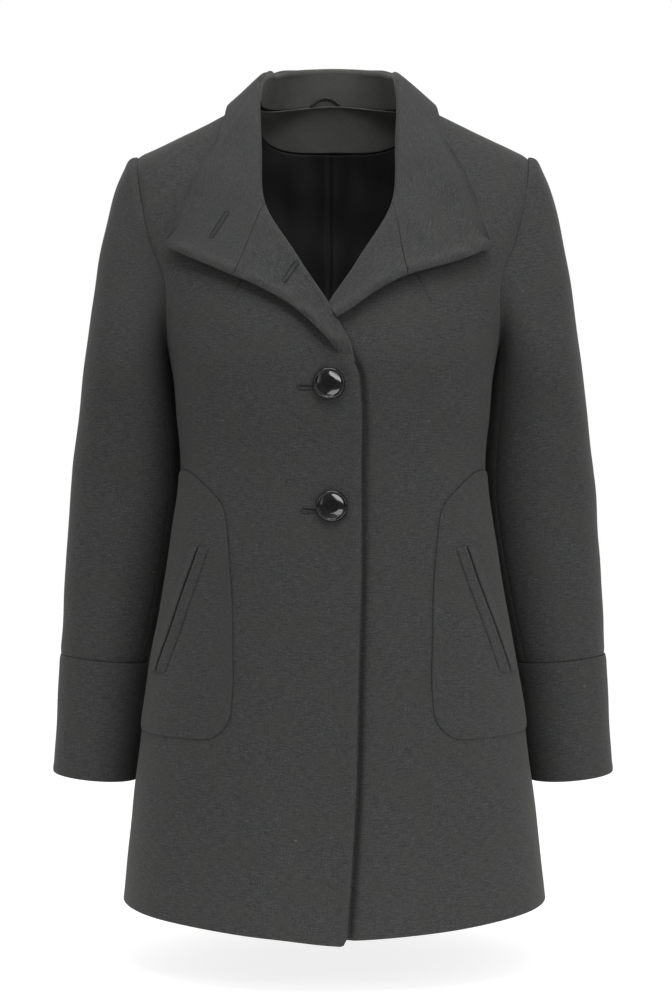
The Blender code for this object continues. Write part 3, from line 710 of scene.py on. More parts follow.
# The closed armhole of one side, from the shoulder down the front and up the back: its points,
# the body's normals, the way into the hole, and angles spread by length over each half.
def armholeLoop(side):
    turn = armholeTurn(armholeRows) * side
    front, back = bodyPoint(turn, armholeRows, -1), bodyPoint(turn, armholeRows, 1)
    front[[0, -1], 1] = 0
    points = np.concatenate((front, back[-2:0:-1]))
    normals = np.concatenate((bodyNormal(turn, armholeRows, -1),
                              bodyNormal(turn, armholeRows, 1)[-2:0:-1]))
    along = normalised(np.roll(points, -1, 0) - np.roll(points, 1, 0))
    inward = normalised(np.cross(along, normals))
    hollow = points.mean(0) + np.array((side * 0.05, 0, 0))
    inward *= np.sign(np.sum(inward * (hollow - points), -1, keepdims=True))
    lengths = np.linalg.norm(np.roll(points, -1, 0) - points, axis=-1)
    half = len(front) - 1
    reach = np.concatenate(((0,), np.cumsum(lengths)))
    angle = np.where(np.arange(len(points)) <= half, pi * reach[:-1] / reach[half],
                     pi + pi * (reach[:-1] - reach[half]) / (reach[-1] - reach[half]))
    return points, normals, inward, angle


# Rings of the sleeve: cubic curves from the armhole to the first section, then the sections.
# A rope rolls out beside the shoulder seam, and folds lie across the elbow.
def sleeveGrid(side):
    points, normals, inward, angle = armholeLoop(side)
    start = points + inward * sleeveForm["armholeGap"]
    first = sleeveRing(side, angle, 0)
    chord = np.linalg.norm(first - start, axis=-1, keepdims=True)
    leave = normalised(inward * 0.75 + np.array((side * 0.45, 0, 0))) * chord * 0.42
    arrive = normalised(sleeveRing(side, angle, 0.2) - first) * chord * 0.9
    t = (np.linspace(0, 1, 49)[:-1]**1.15)[:, None, None]
    head = cubic(t, start, leave, first, arrive)
    arm = sleeveRing(side, angle, np.linspace(0, sleeveForm["cuffStep"], 91)[:, None])
    outer = np.concatenate((head, arm))
    height = outer[..., 2]
    low, high = sleeveForm["slackSpan"]
    slack = (np.clip((height - low) / sleeveForm["slackFade"], 0, 1)
             * np.clip((high - height) / sleeveForm["slackFade"], 0, 1)
             * bell(angle - sleeveForm["slackAngle"], sleeveForm["slackSpread"]))
    outer[..., 0] -= side * sleeveForm["slack"] * slack
    down = np.gradient(outer, axis=0)
    around = np.roll(outer, -1, 1) - np.roll(outer, 1, 1)
    normal = normalised(np.cross(around, down)) * side
    normal[0] = normals
    fromTop = fromEdges(outer)[2]
    top = bell(np.minimum(angle, 2 * pi - angle), 0.75)
    rope = sleeveForm["rope"] * top * bell(fromTop - sleeveForm["ropeWidth"], sleeveForm["ropeWidth"])
    mirrored = outer * np.array((side, 1, 1))
    visible = np.clip(0.55 + 0.45 * np.sin(angle), 0, 1)
    calm = np.clip(fromTop / 0.05, 0, 1)
    rise = rope + calm * (softFolds(mirrored, sleeveForm["folds"]) * visible
                          + unevenness(mirrored + np.array((0.04 * side, 0, 0)), sleeveForm["waves"]))
    return outer, normal, rise, angle


def addSleeve(side, word):
    outer, normal, rise, angle = sleeveGrid(side)
    first, last = np.searchsorted(angle, sleeveForm["underSleeve"])
    under = np.arange(first, last + 1)
    upper = np.arange(last, len(angle) + first + 1) % len(angle)
    for name, picked in (("upper", upper), ("under", under)):
        skin, out = outer[:, picked].copy(), normal[:, picked]
        skin[:, 0] += normalised(skin[:, 1] - skin[:, 0]) * sleeveForm["seam"]
        skin[:, -1] += normalised(skin[:, -2] - skin[:, -1]) * sleeveForm["seam"]
        fromRight, fromLeft, fromTop, fromFoot = fromEdges(skin)
        edge = np.minimum(np.minimum(fromRight, fromLeft), np.minimum(fromTop, fromFoot))
        dip = seamDip(edge, frontDress["seamDip"], frontDress["seamWidth"])
        lift = rise[:, picked] * np.clip(np.minimum(fromRight, fromLeft) / 0.012, 0, 1)
        cloth = skin + out * (lift - dip)[..., None]
        inner = skin + out * (lift - bodyForm["wall"])[..., None]
        piece = addShell(f"{word}_{name}_sleeve_cloth", cloth, inner, (coating, satin),
                         sleeveForm["rounding"])
        sew(piece, f"{word}_{name}_sleeve", cloth)
    print("sewn", word, "sleeve")


# The cuff: a tapered ring that continues the sleeve, a little proud of it.
def addCuff(side, word):
    angle = np.linspace(0, 2 * pi, 140, endpoint=False)
    steps = np.linspace(sleeveForm["cuffStep"], sleeveForm["hemStep"], 52)[:, None]
    outer = sleeveRing(side, angle, steps, cuffDress["proud"])
    inner = sleeveRing(side, angle, steps, cuffDress["proud"] - bodyForm["wall"])
    outer[0, :, 2] -= bodyForm["seamGap"]
    inner[0, :, 2] -= bodyForm["seamGap"]
    mirrored = outer * np.array((side, 1, 1))
    _, _, fromTop, fromFoot = fromEdges(outer)
    rise = (unevenness(mirrored, sleeveForm["waves"]) * np.clip(fromTop / 0.02, 0, 1) * 0.8
            - seamDip(fromTop, cuffDress["seamDip"], 0.003)
            + seamDip(fromFoot - 0.004, cuffDress["hemRoll"], 0.004))
    cloth = outer + normalised(outer - inner) * rise[..., None]
    piece = addShell(f"{word}_cuff_cloth", cloth, inner, (coating, satin), cuffDress["rounding"],
                     closed=True)
    ring = np.concatenate((cloth, cloth[:, :1]), 1)
    sew(piece, f"{word}_cuff", ring)
    print("sewn", piece.name)


# Collar and lapel sections of one side, from the break at the front to the middle of the back:
# the body's row at the base, negative on the front, stand and its lean to the neck, the free
# edge of the right and left side, and how far that edge floats off the body. Gorge seam, tip
# and middle of the back are given as sections.
collarForm = {
    "columns": ("row", "stand", "lean", "rightX", "rightZ", "leftX", "leftZ", "float"),
    "sections": (
        (-5.27, 0.000, 0.000, -0.0125, -0.2310, -0.0600, -0.2320, 0.0048),
        (-4.95, 0.000, 0.000, 0.0070, -0.2090, -0.0260, -0.2085, 0.0048),
        (-4.45, 0.000, 0.000, 0.0373, -0.1811, 0.0150, -0.1845, 0.0050),
        (-3.82, 0.000, 0.000, 0.0717, -0.1604, 0.0400, -0.1665, 0.0055),
        (-3.05, 0.000, 0.000, 0.0905, -0.1515, 0.0690, -0.1510, 0.0060),
        (-2.40, 0.005, 0.001, 0.1300, -0.1325, 0.1150, -0.1360, 0.0070),
        (-1.90, 0.010, 0.001, 0.1555, -0.1185, 0.1465, -0.1210, 0.0080),
        (-1.45, 0.015, 0.002, 0.1365, -0.0672, 0.1325, -0.0690, 0.0065),
        (-1.00, 0.018, 0.006, 0.1105, -0.0173, 0.1095, -0.0180, 0.0055),
        (0.00, 0.0232, 0.010, 0.0965, 0.0290, 0.0945, 0.0300, 0.0060),
        (0.565, 0.0300, 0.013, 0.0780, 0.0120, 0.0780, 0.0120, 0.0090),
        (0.96, 0.0296, 0.010, 0.0460, 0.0060, 0.0460, 0.0060, 0.0085),
        (1.13, 0.0292, 0.008, 0.0000, 0.0040, 0.0000, 0.0040, 0.0080),
    ),
    "gorge": 4.0,
    "tip": 6.0,
    "back": 12.0,
    "leftCrossing": 1.55,       # where the left lapel goes under the right one
    "underDepth": 0.010,
    "underWidth": 0.005,
    "underStart": 0.0015,
    "gorgeGap": 0.008,
    "wall": 0.0032,
    "foldRadius": 0.0028,
    "seamRoom": 0.0028,
    "rollOverhang": 0.0015,
    "edgeRoll": 0.0015,         # the turned edge is a soft, uneven roll
    "edgeWidth": 0.0042,
    "edgeAway": 0.005,
    "edgeLift": 0.0033,         # and stands off the cloth below
    "liftWidth": 0.014,
    "standColumns": 17,
    "breakTaper": 0.9,          # steps over which the lapel thins out to its break
    "bumps": ((0.047, 0.3, 0.0007), (0.029, 1.6, 0.0005)),
    "waves": ((0.070, 0.9, 0.5, 0.0006), (0.046, 2.3, 1.2, 0.0004)),
    "rounding": 0.0014,
}


def collarColumn(name, step):
    return alongTable(tableColumn(collarForm, name), step)


# The free edge: two smooth curves that meet in a corner at the collar's tip.
def edgeColumn(name, step):
    values = tableColumn(collarForm, name)
    tip = int(collarForm["tip"])
    front, back = alongTable(values[:tip + 1], step), alongTable(values[tip:], step - tip)
    return np.where(step <= tip, front, back)


# How thick the lapel still is: full along its length, a third at its break.
def breakTaper(steps):
    return np.clip(steps / collarForm["breakTaper"], 0.35, 1)


# The middle of the collar's wall on one side. Each section runs from its sewn base straight up
# the stand, round the roll in a half circle, and out over the body to the free edge.
def collarGrid(side, steps):
    word = "right" if side < 0 else "left"
    signedRow = collarColumn("row", steps)
    onFront = (signedRow < 0)[:, None, None]
    baseRow = np.abs(signedRow)
    dipped = np.sqrt(np.clip(1 - (baseRow / bodyForm["neckDip"])**2, 0, 1))
    backShare = bodyForm["neckShare"] * dipped
    baseTurn = np.where(signedRow < 0, edgeTurn(baseRow, side), turnOf(backShare))
    edgeX, edgeZ = edgeColumn(word + "X", steps), edgeColumn(word + "Z", steps)
    freeRow = rowAt(edgeX, edgeZ)
    freeTurn = turnOf(edgeX / section("halfWidth", freeRow))
    stand, lean = collarColumn("stand", steps), collarColumn("lean", steps)
    span = np.linspace(0, 1, 44)
    turn = baseTurn[:, None] + (freeTurn - baseTurn)[:, None] * span
    row = baseRow[:, None] + (freeRow - baseRow)[:, None] * span
    frontBody, frontNormal = frontPoint(side, turn, row)
    body = np.where(onFront, frontBody, bodyPoint(turn * side, row, 1))
    normal = np.where(onFront, frontNormal, bodyNormal(turn * side, row, 1))
    along = np.gradient(body[:, 0], axis=0)
    away = normalised(np.cross(along, normal[:, 0]))
    away *= np.sign(np.sum(away * (body[:, 0] - body[:, 8]), -1, keepdims=True))
    toMiddle = (-body[:, 0, 0], bodyForm["neckMiddle"] - body[:, 0, 1], 0 * stand)
    inward = normalised(np.stack(toMiddle, -1))
    thin = breakTaper(steps)[:, None]
    radius = collarForm["foldRadius"] * (0.4 + 0.6 * thin)
    closing = np.clip(steps / 2, 0.05, 1)[:, None]
    room = (collarForm["seamRoom"] + collarForm["wall"] / 2) * closing
    base = body[:, 0] - normal[:, 0] * bodyForm["wall"] / 2 + away * room
    lift = 2 * radius - bodyForm["wall"] / 2
    hover = lift + (collarColumn("float", steps)[:, None] * thin - lift) * span
    shift = (away * (room + collarForm["rollOverhang"] * closing) + inward * lean[:, None]
             + np.array((0, 0, 1)) * stand[:, None])
    fall = body + normal * hover[..., None] + shift[:, None] * (1 - span[:, None])
    crest = normalised(fall[:, 0] - fall[:, 8])
    out = normalised(normal[:, 0] - crest * np.sum(normal[:, 0] * crest, -1, keepdims=True))
    turnRound = np.linspace(0, pi, 12)[1:-1, None, None]
    spoke = np.cos(turnRound) * -out + np.sin(turnRound) * crest
    bend = fall[:, 0] - out * radius + spoke * radius
    rise = np.linspace(0, 1, 12)[:, None, None]
    stem = base + (fall[:, 0] - out * 2 * radius - base) * rise
    return np.concatenate((np.moveaxis(stem, 0, 1), np.moveaxis(bend, 0, 1), fall), 1)


# A wall laid half to each side of a middle surface, with a soft roll along its last column,
# which stands off the body. It thins to the break, and the roll is calm above the shoulders.
def collarWall(grid, thin):
    normal = normalised(np.cross(np.gradient(grid, axis=0), np.gradient(grid, axis=1)))
    _, fromEdge, run, _ = fromEdges(grid)
    bump = 0
    for length, phase, height in collarForm["bumps"]:
        bump = bump + height * np.sin(2 * pi * run[:, -1:] / length + phase)
    roll = seamDip(fromEdge - collarForm["edgeAway"], collarForm["edgeRoll"] + bump,
                   collarForm["edgeWidth"])
    wave = unevenness(grid, collarForm["waves"]) * np.clip(fromEdge / 0.03, 0, 1)
    sign = np.sign(np.sum(normal[:, -8] * np.array((0, -1, 0.2)), -1))
    out = normal * (1 if np.median(sign) > 0 else -1)
    half = collarForm["wall"] / 2 * thin
    fall = np.clip((np.arange(grid.shape[1]) - 22) / 8, 0, 1) * thin
    fall = fall * np.clip(0.2 - grid[:, -1:, 2] / 0.06, 0.1, 1)
    lift = collarForm["edgeLift"] * bell(fromEdge, collarForm["liftWidth"]) * fall * thin**3
    outer = grid + out * (half + lift + (roll + wave) * fall)[..., None]
    inner = grid + out * (lift - half + 0.3 * wave * fall)[..., None]
    return outer, inner, out


# The left lapel passes under the right one: where it reaches that lapel's roll, it is pushed back.
def underLapel(points):
    roll = collarGrid(-1, np.linspace(0.02, collarForm["gorge"], 60))
    ridge = roll[np.arange(len(roll)), roll[..., 0].argmax(1)]
    ridge = ridge[np.argsort(ridge[:, 2])]
    crossing = np.interp(points[..., 2], ridge[:, 2], ridge[:, 0])
    past = crossing + collarForm["underStart"] - points[..., 0]
    back = collarForm["underDepth"] * soften(np.clip(past / collarForm["underWidth"], 0, 1))
    return points + np.array((0, 1, 0)) * back[..., None]


# The collar runs from one gorge seam round the neck to the other.
def addCollar():
    first = collarForm["gorge"] + collarForm["gorgeGap"]
    steps = np.concatenate((np.linspace(first, collarForm["tip"], 56)[:-1],
                            np.linspace(collarForm["tip"], collarForm["back"], 130)))
    right, left = collarGrid(-1, steps), collarGrid(1, steps)
    right[-1, :, 0] = 0
    grid = np.concatenate((right, left[-2::-1]))
    outer, inner, out = collarWall(grid, 1.0)
    # The stand's outside takes the painted lit copy of the coating, the rest of the collar the painted
    # shaded copy.
    piece = addShell("collar_cloth", outer, inner, (paintedShadeCollar, paintedLightFacing), collarForm["rounding"],
                     turned=True, stand=collarForm["standColumns"])
    sew(piece, "collar", outer)
    print("sewn", piece.name)
    return outer, out


# A lapel runs from its break, or from the crossing on the left, to the gorge seam.
def addLapel(side, word):
    first = 0.0 if side < 0 else collarForm["leftCrossing"]
    steps = np.linspace(first, collarForm["gorge"] - collarForm["gorgeGap"], 84)
    outer, inner, out = collarWall(collarGrid(side, steps), breakTaper(steps)[:, None])
    if side > 0:
        outer, inner = underLapel(outer), underLapel(inner)
    # The lapel takes the painted shaded copy of the coating.
    piece = addShell(f"{word}_lapel_cloth", outer, inner, (paintedShadeCollar,), collarForm["rounding"],
                     turned=True)
    sew(piece, f"{word}_lapel", outer)
    print("sewn", piece.name)
    return outer, out


panelDress = {
    # upper edge from the inner side to the side seam, as a share of the half width and a height
    "edge": ((0.508, -0.530), (0.530, -0.495), (0.560, -0.456), (0.612, -0.404), (0.661, -0.3716),
             (0.735, -0.3554), (0.900, -0.3340), (1.000, -0.3310)),
    "foot": -0.585,
    "corner": 0.028,
    "proud": 0.0021,            # of its face off the front
    "sunk": 0.0004,             # of its underside into the front
    "seamRise": 0.0006,
    "seamDip": 0.0012,
    "seamWidth": 0.0030,
    "rounding": 0.0006,
}


# The pocket panel hangs between its curved upper edge and its level foot, whose inner corner is
# an arc of a circle. It lies on the front and sinks to its sewn edge.
def addPocketPanel(side, word):
    edge = np.array(panelDress["edge"])
    low, bend = turnOf(edge[0, 0]), turnOf(edge[4, 0])
    turn = np.concatenate((np.linspace(low, bend, 34)[:-1], np.linspace(bend, 1, 40)))
    share = np.sin(turn * pi / 2)
    knots = np.arange(len(edge), dtype=float)
    fine = np.linspace(0, knots[-1], 400)
    smooth = np.maximum.accumulate(alongTable(edge[:, 0], fine))
    top = np.interp(share, smooth, alongTable(edge[:, 1], fine))
    halfWidth = section("halfWidth", rowAt(0, panelDress["foot"]))
    past = np.clip(1 - (share - edge[0, 0]) * halfWidth / panelDress["corner"], 0, 0.99)
    foot = panelDress["foot"] + panelDress["corner"] * (1 - np.sqrt(1 - past**2))
    height = top + (foot - top) * np.linspace(0, 1, 90)[:, None]
    row = rowAt(0, height)
    turn = np.repeat(turn[None], len(height), 0)
    body, normal = frontCloth(side, turn, row)
    fromInner, fromSide, fromTop, fromFoot = fromEdges(body)
    edgeAway = np.minimum(np.minimum(fromInner, fromSide), np.minimum(fromTop, fromFoot))
    proud = panelDress["proud"] - seamDip(edgeAway, panelDress["seamDip"], panelDress["seamWidth"])
    cloth = body + normal * proud[..., None]
    piece = addShell(f"{word}_pocket_panel_cloth", cloth, body - normal * panelDress["sunk"], (coating,),
                     panelDress["rounding"])
    sew(piece, f"{word}_pocket_panel", cloth)
    rim = [np.concatenate((part[0, :0:-1], part[:-1, 0], part[-1]))
           for part in (body + normal * panelDress["seamRise"], normal)]
    addSeam(f"{word}_panel_seam", *rim)
    print("sewn", piece.name)


weltDress = {
    "slitTop": (0.1252, -0.405), "slitFoot": (0.1685, -0.526), "length": 0.128,
    "width": 0.0090, "gap": 0.0020, "rise": 0.0018, "proud": 0.0042, "lip": 0.0006,
    "fall": 0.0012, "endFall": 0.0010, "rounding": 0.0004, "stitch": 0.00035,
}


# Welts: a narrow strip on each side of the slanting slit. Each has a lip at the slit, falls off
# with the square of the way across, and sinks at both ends.
def addWelts(side, word):
    down = np.linspace(0, 1, 90)[:, None]
    x = weltDress["slitTop"][0] + (weltDress["slitFoot"][0] - weltDress["slitTop"][0]) * down
    z = weltDress["slitTop"][1] + (weltDress["slitFoot"][1] - weltDress["slitTop"][1]) * down
    share = np.linspace(0, 1, 15)
    for name, direction in (("front", -1), ("back", 1)):
        reach = direction * (weltDress["gap"] / 2 + weltDress["width"] * share)
        row = rowAt(0, z + 0 * reach)
        turn = turnOf((x + reach) / section("halfWidth", row))
        body, normal = frontCloth(side, turn, row)
        ends = np.minimum(down, 1 - down) * weltDress["length"]
        crown = (weltDress["proud"] - weltDress["fall"] * share**2
                 - weltDress["endFall"] * bell(ends, 0.003)
                 + weltDress["lip"] * bell(share - 0.15, 0.18))
        cloth = body + normal * crown[..., None]
        piece = addShell(f"{word}_welt_{name}_cloth", cloth, body + normal * weltDress["rise"], (coating,),
                         weltDress["rounding"])
        sew(piece, f"{word}_welt_{name}", cloth)
        line = (cloth - normal * 0.0001)[:, -2]
        addSeam(f"{word}_welt_{name}_seam", line, normal[:, -2], weltDress["stitch"])
    print("sewn", word, "welts")


# Heights are in rows of the body.
facingDress = {"top": 0.105, "foot": 1.0, "flatter": 0.20, "wall": 0.0016, "rounding": 0.0006}
liningDress = {
    "lap": 0.03, "foot": 11.5, "ease": 0.0035, "least": 0.0015, "wall": 0.0012,
    "pleatDepth": 0.006, "pleatWidth": 0.012,
    "creaseDepth": 0.0034, "creaseWidth": 0.0022, "creaseAt": -0.004,
    "foldDepth": 0.0008, "foldSpacing": 0.027, "rounding": 0.0004,
    "waves": ((0.043, 0.35, 0.4, 0.0005), (0.029, -0.3, 1.3, 0.0003), (0.060, 1.2, 2.0, 0.0006)),
}


# Cloth on the inside of the back, its depth measured inwards from the back's inner face.
def insideBack(turn, row, depth):
    body, normal = bodyPoint(turn, row, 1), bodyNormal(turn, row, 1)
    return body - normal * (bodyForm["wall"] + bodyForm["seamGap"] + depth)[..., None], normal


# The facing's foot, in rows below the neckline: flatter than the neckline at the middle.
def facingFoot(turn):
    share = np.sin(turn * pi / 2) / bodyForm["neckShare"]
    return facingDress["foot"] - facingDress["flatter"] * np.clip(1 - share**2, 0, 1)


def addFacing():
    share = bodyForm["neckShare"] * np.sin(np.linspace(-pi / 2, pi / 2, 101)[4:-4])
    columns = turnOf(share) / armholeTurn(0)
    turn, row = backGrid(columns, np.linspace(0, 1, 40))
    top = row[0] - facingDress["top"] * row[0]
    foot = row[0] + facingFoot(turn[0])
    row = top + (foot - top) * np.linspace(0, 1, 40)[:, None]
    turn = columns * armholeTurn(row)
    outer, normal = insideBack(turn, row, 0 * row)
    cloth = outer - normal * facingDress["wall"]
    # The facing takes the painted lit copy of the coating.
    piece = addShell("back_neck_facing_cloth", cloth, outer, (paintedLightFacing,), facingDress["rounding"])
    sew(piece, "back_neck_facing", cloth)
    print("sewn", piece.name)


# The lining hangs from the facing's foot: a pleat at the middle with a crease in it, and soft
# upright folds that die out to the hem.
def addLining():
    columns = np.linspace(-0.9, 0.9, 181)
    turn, row = backGrid(columns, np.array((0.0, liningDress["foot"])))
    top = row[0] + facingFoot(turn[0]) + liningDress["lap"]
    row = top + (row[1] - top) * np.linspace(0, 1, 110)[:, None]**1.2
    turn = columns * armholeTurn(row)
    x = np.sin(turn * pi / 2) * section("halfWidth", row)
    fade = np.clip(1 - row / hemRow, 0, 1)
    folds = liningDress["foldDepth"] * (1 - np.cos(x / liningDress["foldSpacing"] * 2 * pi)) / 2
    pleat = liningDress["pleatDepth"] * bell(x, liningDress["pleatWidth"])
    crease = liningDress["creaseDepth"] * bell(x - liningDress["creaseAt"], liningDress["creaseWidth"])
    plain, _ = insideBack(turn, row, 0 * row)
    depth = liningDress["ease"] + fade * (pleat - crease * fade + folds)
    depth = np.maximum(depth + fade * unevenness(plain, liningDress["waves"]), liningDress["least"])
    outer, normal = insideBack(turn, row, depth)
    cloth = outer - normal * liningDress["wall"]
    piece = addShell("back_lining_cloth", cloth, outer, (satin,), liningDress["rounding"])
    sew(piece, "back_lining", cloth)
    print("sewn", piece.name)


# Faces between rings of numbered points.
def ringFaces(number):
    following = np.roll(number, -1, 1)
    return np.stack((number[:-1], following[:-1], following[1:], number[1:]), -1).reshape(-1, 4)


# A tube along a path: rings of a circle, squeezed across, in the plane square to the path.
def addTube(name, path, up, radius, flatness, look, ring=12, closed=False):
    along = np.roll(path, -1, 0) - np.roll(path, 1, 0) if closed else np.gradient(path, axis=0)
    along = normalised(along)
    side = normalised(np.cross(along, up))
    rise = normalised(np.cross(side, along))
    angle = np.linspace(0, 2 * pi, ring, endpoint=False)
    radius = np.broadcast_to(radius, len(path))[:, None, None]
    rings = path[:, None] + radius * (side[:, None] * np.cos(angle)[:, None]
                                      + flatness * rise[:, None] * np.sin(angle)[:, None])
    count = len(path)
    number = np.arange(count * ring).reshape(count, ring)
    if closed:
        number = np.concatenate((number, number[:1]))
    faces = ringFaces(number).tolist()
    if not closed:
        faces += [number[0, ::-1].tolist(), number[-1].tolist()]
    mesh = bpy.data.meshes.new(name)
    mesh.from_pydata(rings.reshape(-1, 3).tolist(), [], faces)
    reach = pathReach(path)
    corner = np.zeros(len(mesh.loops), np.int32)
    mesh.loops.foreach_get("vertex_index", corner)
    uv = np.stack((reach[corner // ring], corner % ring * 0.0004), -1)
    mesh.uv_layers.new(name="cloth").uv.foreach_set("vector", uv.astype(np.float32).ravel())
    mesh.materials.append(look)
    mesh.shade_smooth()
    tube = addObject(name, mesh)
    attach(tube, "root")
    return tube


buttonDress = {
    "spots": {"button_upper": (-0.0035, -0.2515), "button_lower": (-0.0010, -0.3660)},
    "diameter": 0.030, "height": 0.0052, "seat": 0.0003,
    # half profile from the underside round the rim and its groove to the middle, as shares of
    # radius and height
    "profile": ((0.00, 0.00), (0.50, 0.00), (0.80, 0.02), (0.94, 0.14), (0.995, 0.36), (1.00, 0.55),
                (0.975, 0.76), (0.94, 0.93), (0.90, 1.00), (0.86, 0.98), (0.835, 0.86), (0.815, 0.70),
                (0.795, 0.64), (0.765, 0.640), (0.70, 0.712), (0.61, 0.806), (0.52, 0.892),
                (0.44, 0.962), (0.36, 1.00), (0.20, 1.01), (0.00, 1.01)),
}


# A seam seen as a thin dark line: stitching sunk between two edges.
def addSeam(name, path, normal, radius=0.00042):
    seam = addTube(name, path, normal, radius, 0.5, twist, ring=6)


# A button turned on a lathe: a smooth curve through the profile, carried round its axis,
# placed on the front with its axis along the cloth's normal.
def addButton(name):
    profile = np.array(buttonDress["profile"])
    steps = np.linspace(0, len(profile) - 1, 81)
    radius = np.maximum(alongTable(profile[:, 0], steps), 0)[1:-1] * buttonDress["diameter"] / 2
    height = alongTable(profile[:, 1], steps)[1:-1] * buttonDress["height"]
    angle = np.linspace(0, 2 * pi, 96, endpoint=False)
    x, z = buttonDress["spots"][name]
    row = rowAt(x, z)
    turn = turnOf(-x / section("halfWidth", row))
    centre, normal = frontPoint(-1, np.array(turn), np.array(row))
    normal = normalised(normal * np.array((1, 1, 0.1)))    # the shank lets it hang straight
    level = normalised(np.cross(np.array((0, 0, 1)), normal))
    upright = np.cross(normal, level)
    centre = centre + normal * buttonDress["seat"]
    circle = level * np.cos(angle)[:, None] + upright * np.sin(angle)[:, None]
    rings = centre + radius[:, None, None] * circle + height[:, None, None] * normal
    count, ring = rings.shape[:2]
    poles = centre + np.outer((0, profile[-1, 1] * buttonDress["height"]), normal)
    number = np.arange(count * ring).reshape(count, ring)
    following = np.roll(number, -1, 1)
    walls = ringFaces(number)
    under = np.stack((np.full(ring, number.size), following[0], number[0]), -1)
    dish = np.stack((np.full(ring, number.size + 1), number[-1], following[-1]), -1)
    mesh = bpy.data.meshes.new(name)
    mesh.from_pydata(np.concatenate((rings.reshape(-1, 3), poles)).tolist(), [],
                     walls.tolist() + under.tolist() + dish.tolist())
    mesh.materials.append(resin)
    mesh.shade_smooth()
    button = addObject(f"{name}_resin", mesh)
    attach(button, "root")
    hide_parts(name)
    print("turned", button.name)


# Buttonholes and darts, given as paths on the photo in pixels.
sewingMarks = {
    "holes": {
        "buttonhole_upper": ("right_front", ((299.5, 387), (322, 387))),
        "buttonhole_lower": ("right_front", ((303, 509), (325, 509))),
        "buttonhole_lapel": ("right_lapel", ((296.5, 263), (284.5, 280))),
        "buttonhole_collar": ("collar", ((227, 213), (212, 236))),
    },
    "darts": {
        "dart_right": ("right_front", ((241, 281), (228, 303))),
        "dart_left": ("left_front", ((417, 274), (432, 303))),
    },
    # slit is the radius of a dark satin tube laid along each buttonhole: painted shade in its slit.
    "holeHalfWidth": 0.0023, "stitch": 0.00042, "pitch": 0.0011, "slit": 0.00115,
    "slitAside": 0.6,           # of the half width, to which side the slit gapes
    "dartRadius": 0.00055,
}


# A buttonhole: a closed roll of stitches along a path, with a dark satin tube beside it that paints the
# shade in its slit. The roll runs down one side, round the end and back; its thickness swells with each
# stitch.
def addButtonhole(name, surface, pixels):
    path, normal = onSurface(*surface, pixels, 40)
    along = normalised(np.gradient(path, axis=0))
    side = normalised(np.cross(along, normal))
    half = sewingMarks["holeHalfWidth"]
    bend = np.linspace(-pi / 2, pi / 2, 11)[1:-1, None]
    ahead = path[-1] + half * (along[-1] * np.cos(bend) - side[-1] * np.sin(bend))
    behind = path[0] - half * (along[0] * np.cos(bend) - side[0] * np.sin(bend))
    loop = np.concatenate((path + side * half, ahead, (path - side * half)[::-1], behind))
    loop = np.concatenate((loop, loop[:1]))
    ends = np.repeat(normal[[-1, 0]], len(bend), 0).reshape(2, -1, 3)
    lifted = np.concatenate((normal, ends[0], normal[::-1], ends[1], normal[:1]))
    reach = pathReach(loop)
    at = np.linspace(0, reach[-1], 240, endpoint=False)
    fine, up = readAlong(at, reach, loop), normalised(readAlong(at, reach, lifted))
    radius = sewingMarks["stitch"] * (1 + 0.16 * np.sin(2 * pi * at / sewingMarks["pitch"]))
    roll = addTube(name, fine + up * 0.0003, up, radius, 0.75, twist, closed=True)
    taper = np.clip(np.linspace(0.25, 1.6, len(path)), 0, 1)
    # The dark satin tube on the cloth paints the shade in the slit.
    paintedShadePath = path - side * half * sewingMarks["slitAside"] + normal * 0.0004
    slit = addTube(f"{name}_slit_painted_shade", paintedShadePath, normal, sewingMarks["slit"] * taper, 0.4, satin)
    print("worked", name)


# A dart's end: a thin sunk line of stitching.
def addDart(name, surface, pixels):
    path, normal = onSurface(*surface, pixels, 40)
    taper = np.linspace(1, 0.35, 40)
    dart = addTube(name, path + normal * 0.0001, normal, sewingMarks["dartRadius"] * taper, 0.6, twist)
    print("worked", name)


loopDress = {"span": (-0.0225, 0.0065), "rise": 0.0072, "radius": 0.0013, "gap": 0.0008}


# The hanger loop: a rouleau in a rounded half sine across the neck seam, close to the stand.
def addHangerLoop():
    stand = collarGrid(-1, np.linspace(collarForm["back"], collarForm["back"] - 1, 40))
    reach = np.abs(stand[:, 0, 0])
    t = np.linspace(0, 1, 60)
    x = loopDress["span"][0] + (loopDress["span"][1] - loopDress["span"][0]) * t
    seam = [np.interp(np.abs(x), reach, stand[:, 0, axis]) for axis in (1, 2)]
    top = [np.interp(np.abs(x), reach, stand[:, 11, axis]) for axis in (1, 2)]
    z = seam[1] + loopDress["rise"] * np.sin(pi * t)**0.7
    lean = (top[0] - seam[0]) / (top[1] - seam[1])
    away = collarForm["wall"] / 2 + loopDress["radius"] + loopDress["gap"]
    path = np.stack((x, seam[0] + lean * (z - seam[1]) - away, z), -1)
    ahead = np.tile((0.0, -1.0, 0.0), (len(path), 1))
    loop = addTube("hanger_loop_cloth", path, ahead, loopDress["radius"], 0.8, coating)
    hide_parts("hanger_loop")
    print("sewn", loop.name)


cloths = {}
for word, side in sides.items():
    cloths[f"{word}_front"] = addFront(side, word)
    addSleeve(side, word)
    addCuff(side, word)
    cloths[f"{word}_lapel"] = addLapel(side, word)
    addPocketPanel(side, word)
    addWelts(side, word)
addBack()
cloths["collar"] = addCollar()
addFacing()
addLining()
addHangerLoop()
for name in buttonDress["spots"]:
    addButton(name)
for name, (cloth, pixels) in sewingMarks["holes"].items():
    addButtonhole(name, cloths[cloth], pixels)
for name, (cloth, pixels) in sewingMarks["darts"].items():
    addDart(name, cloths[cloth], pixels)
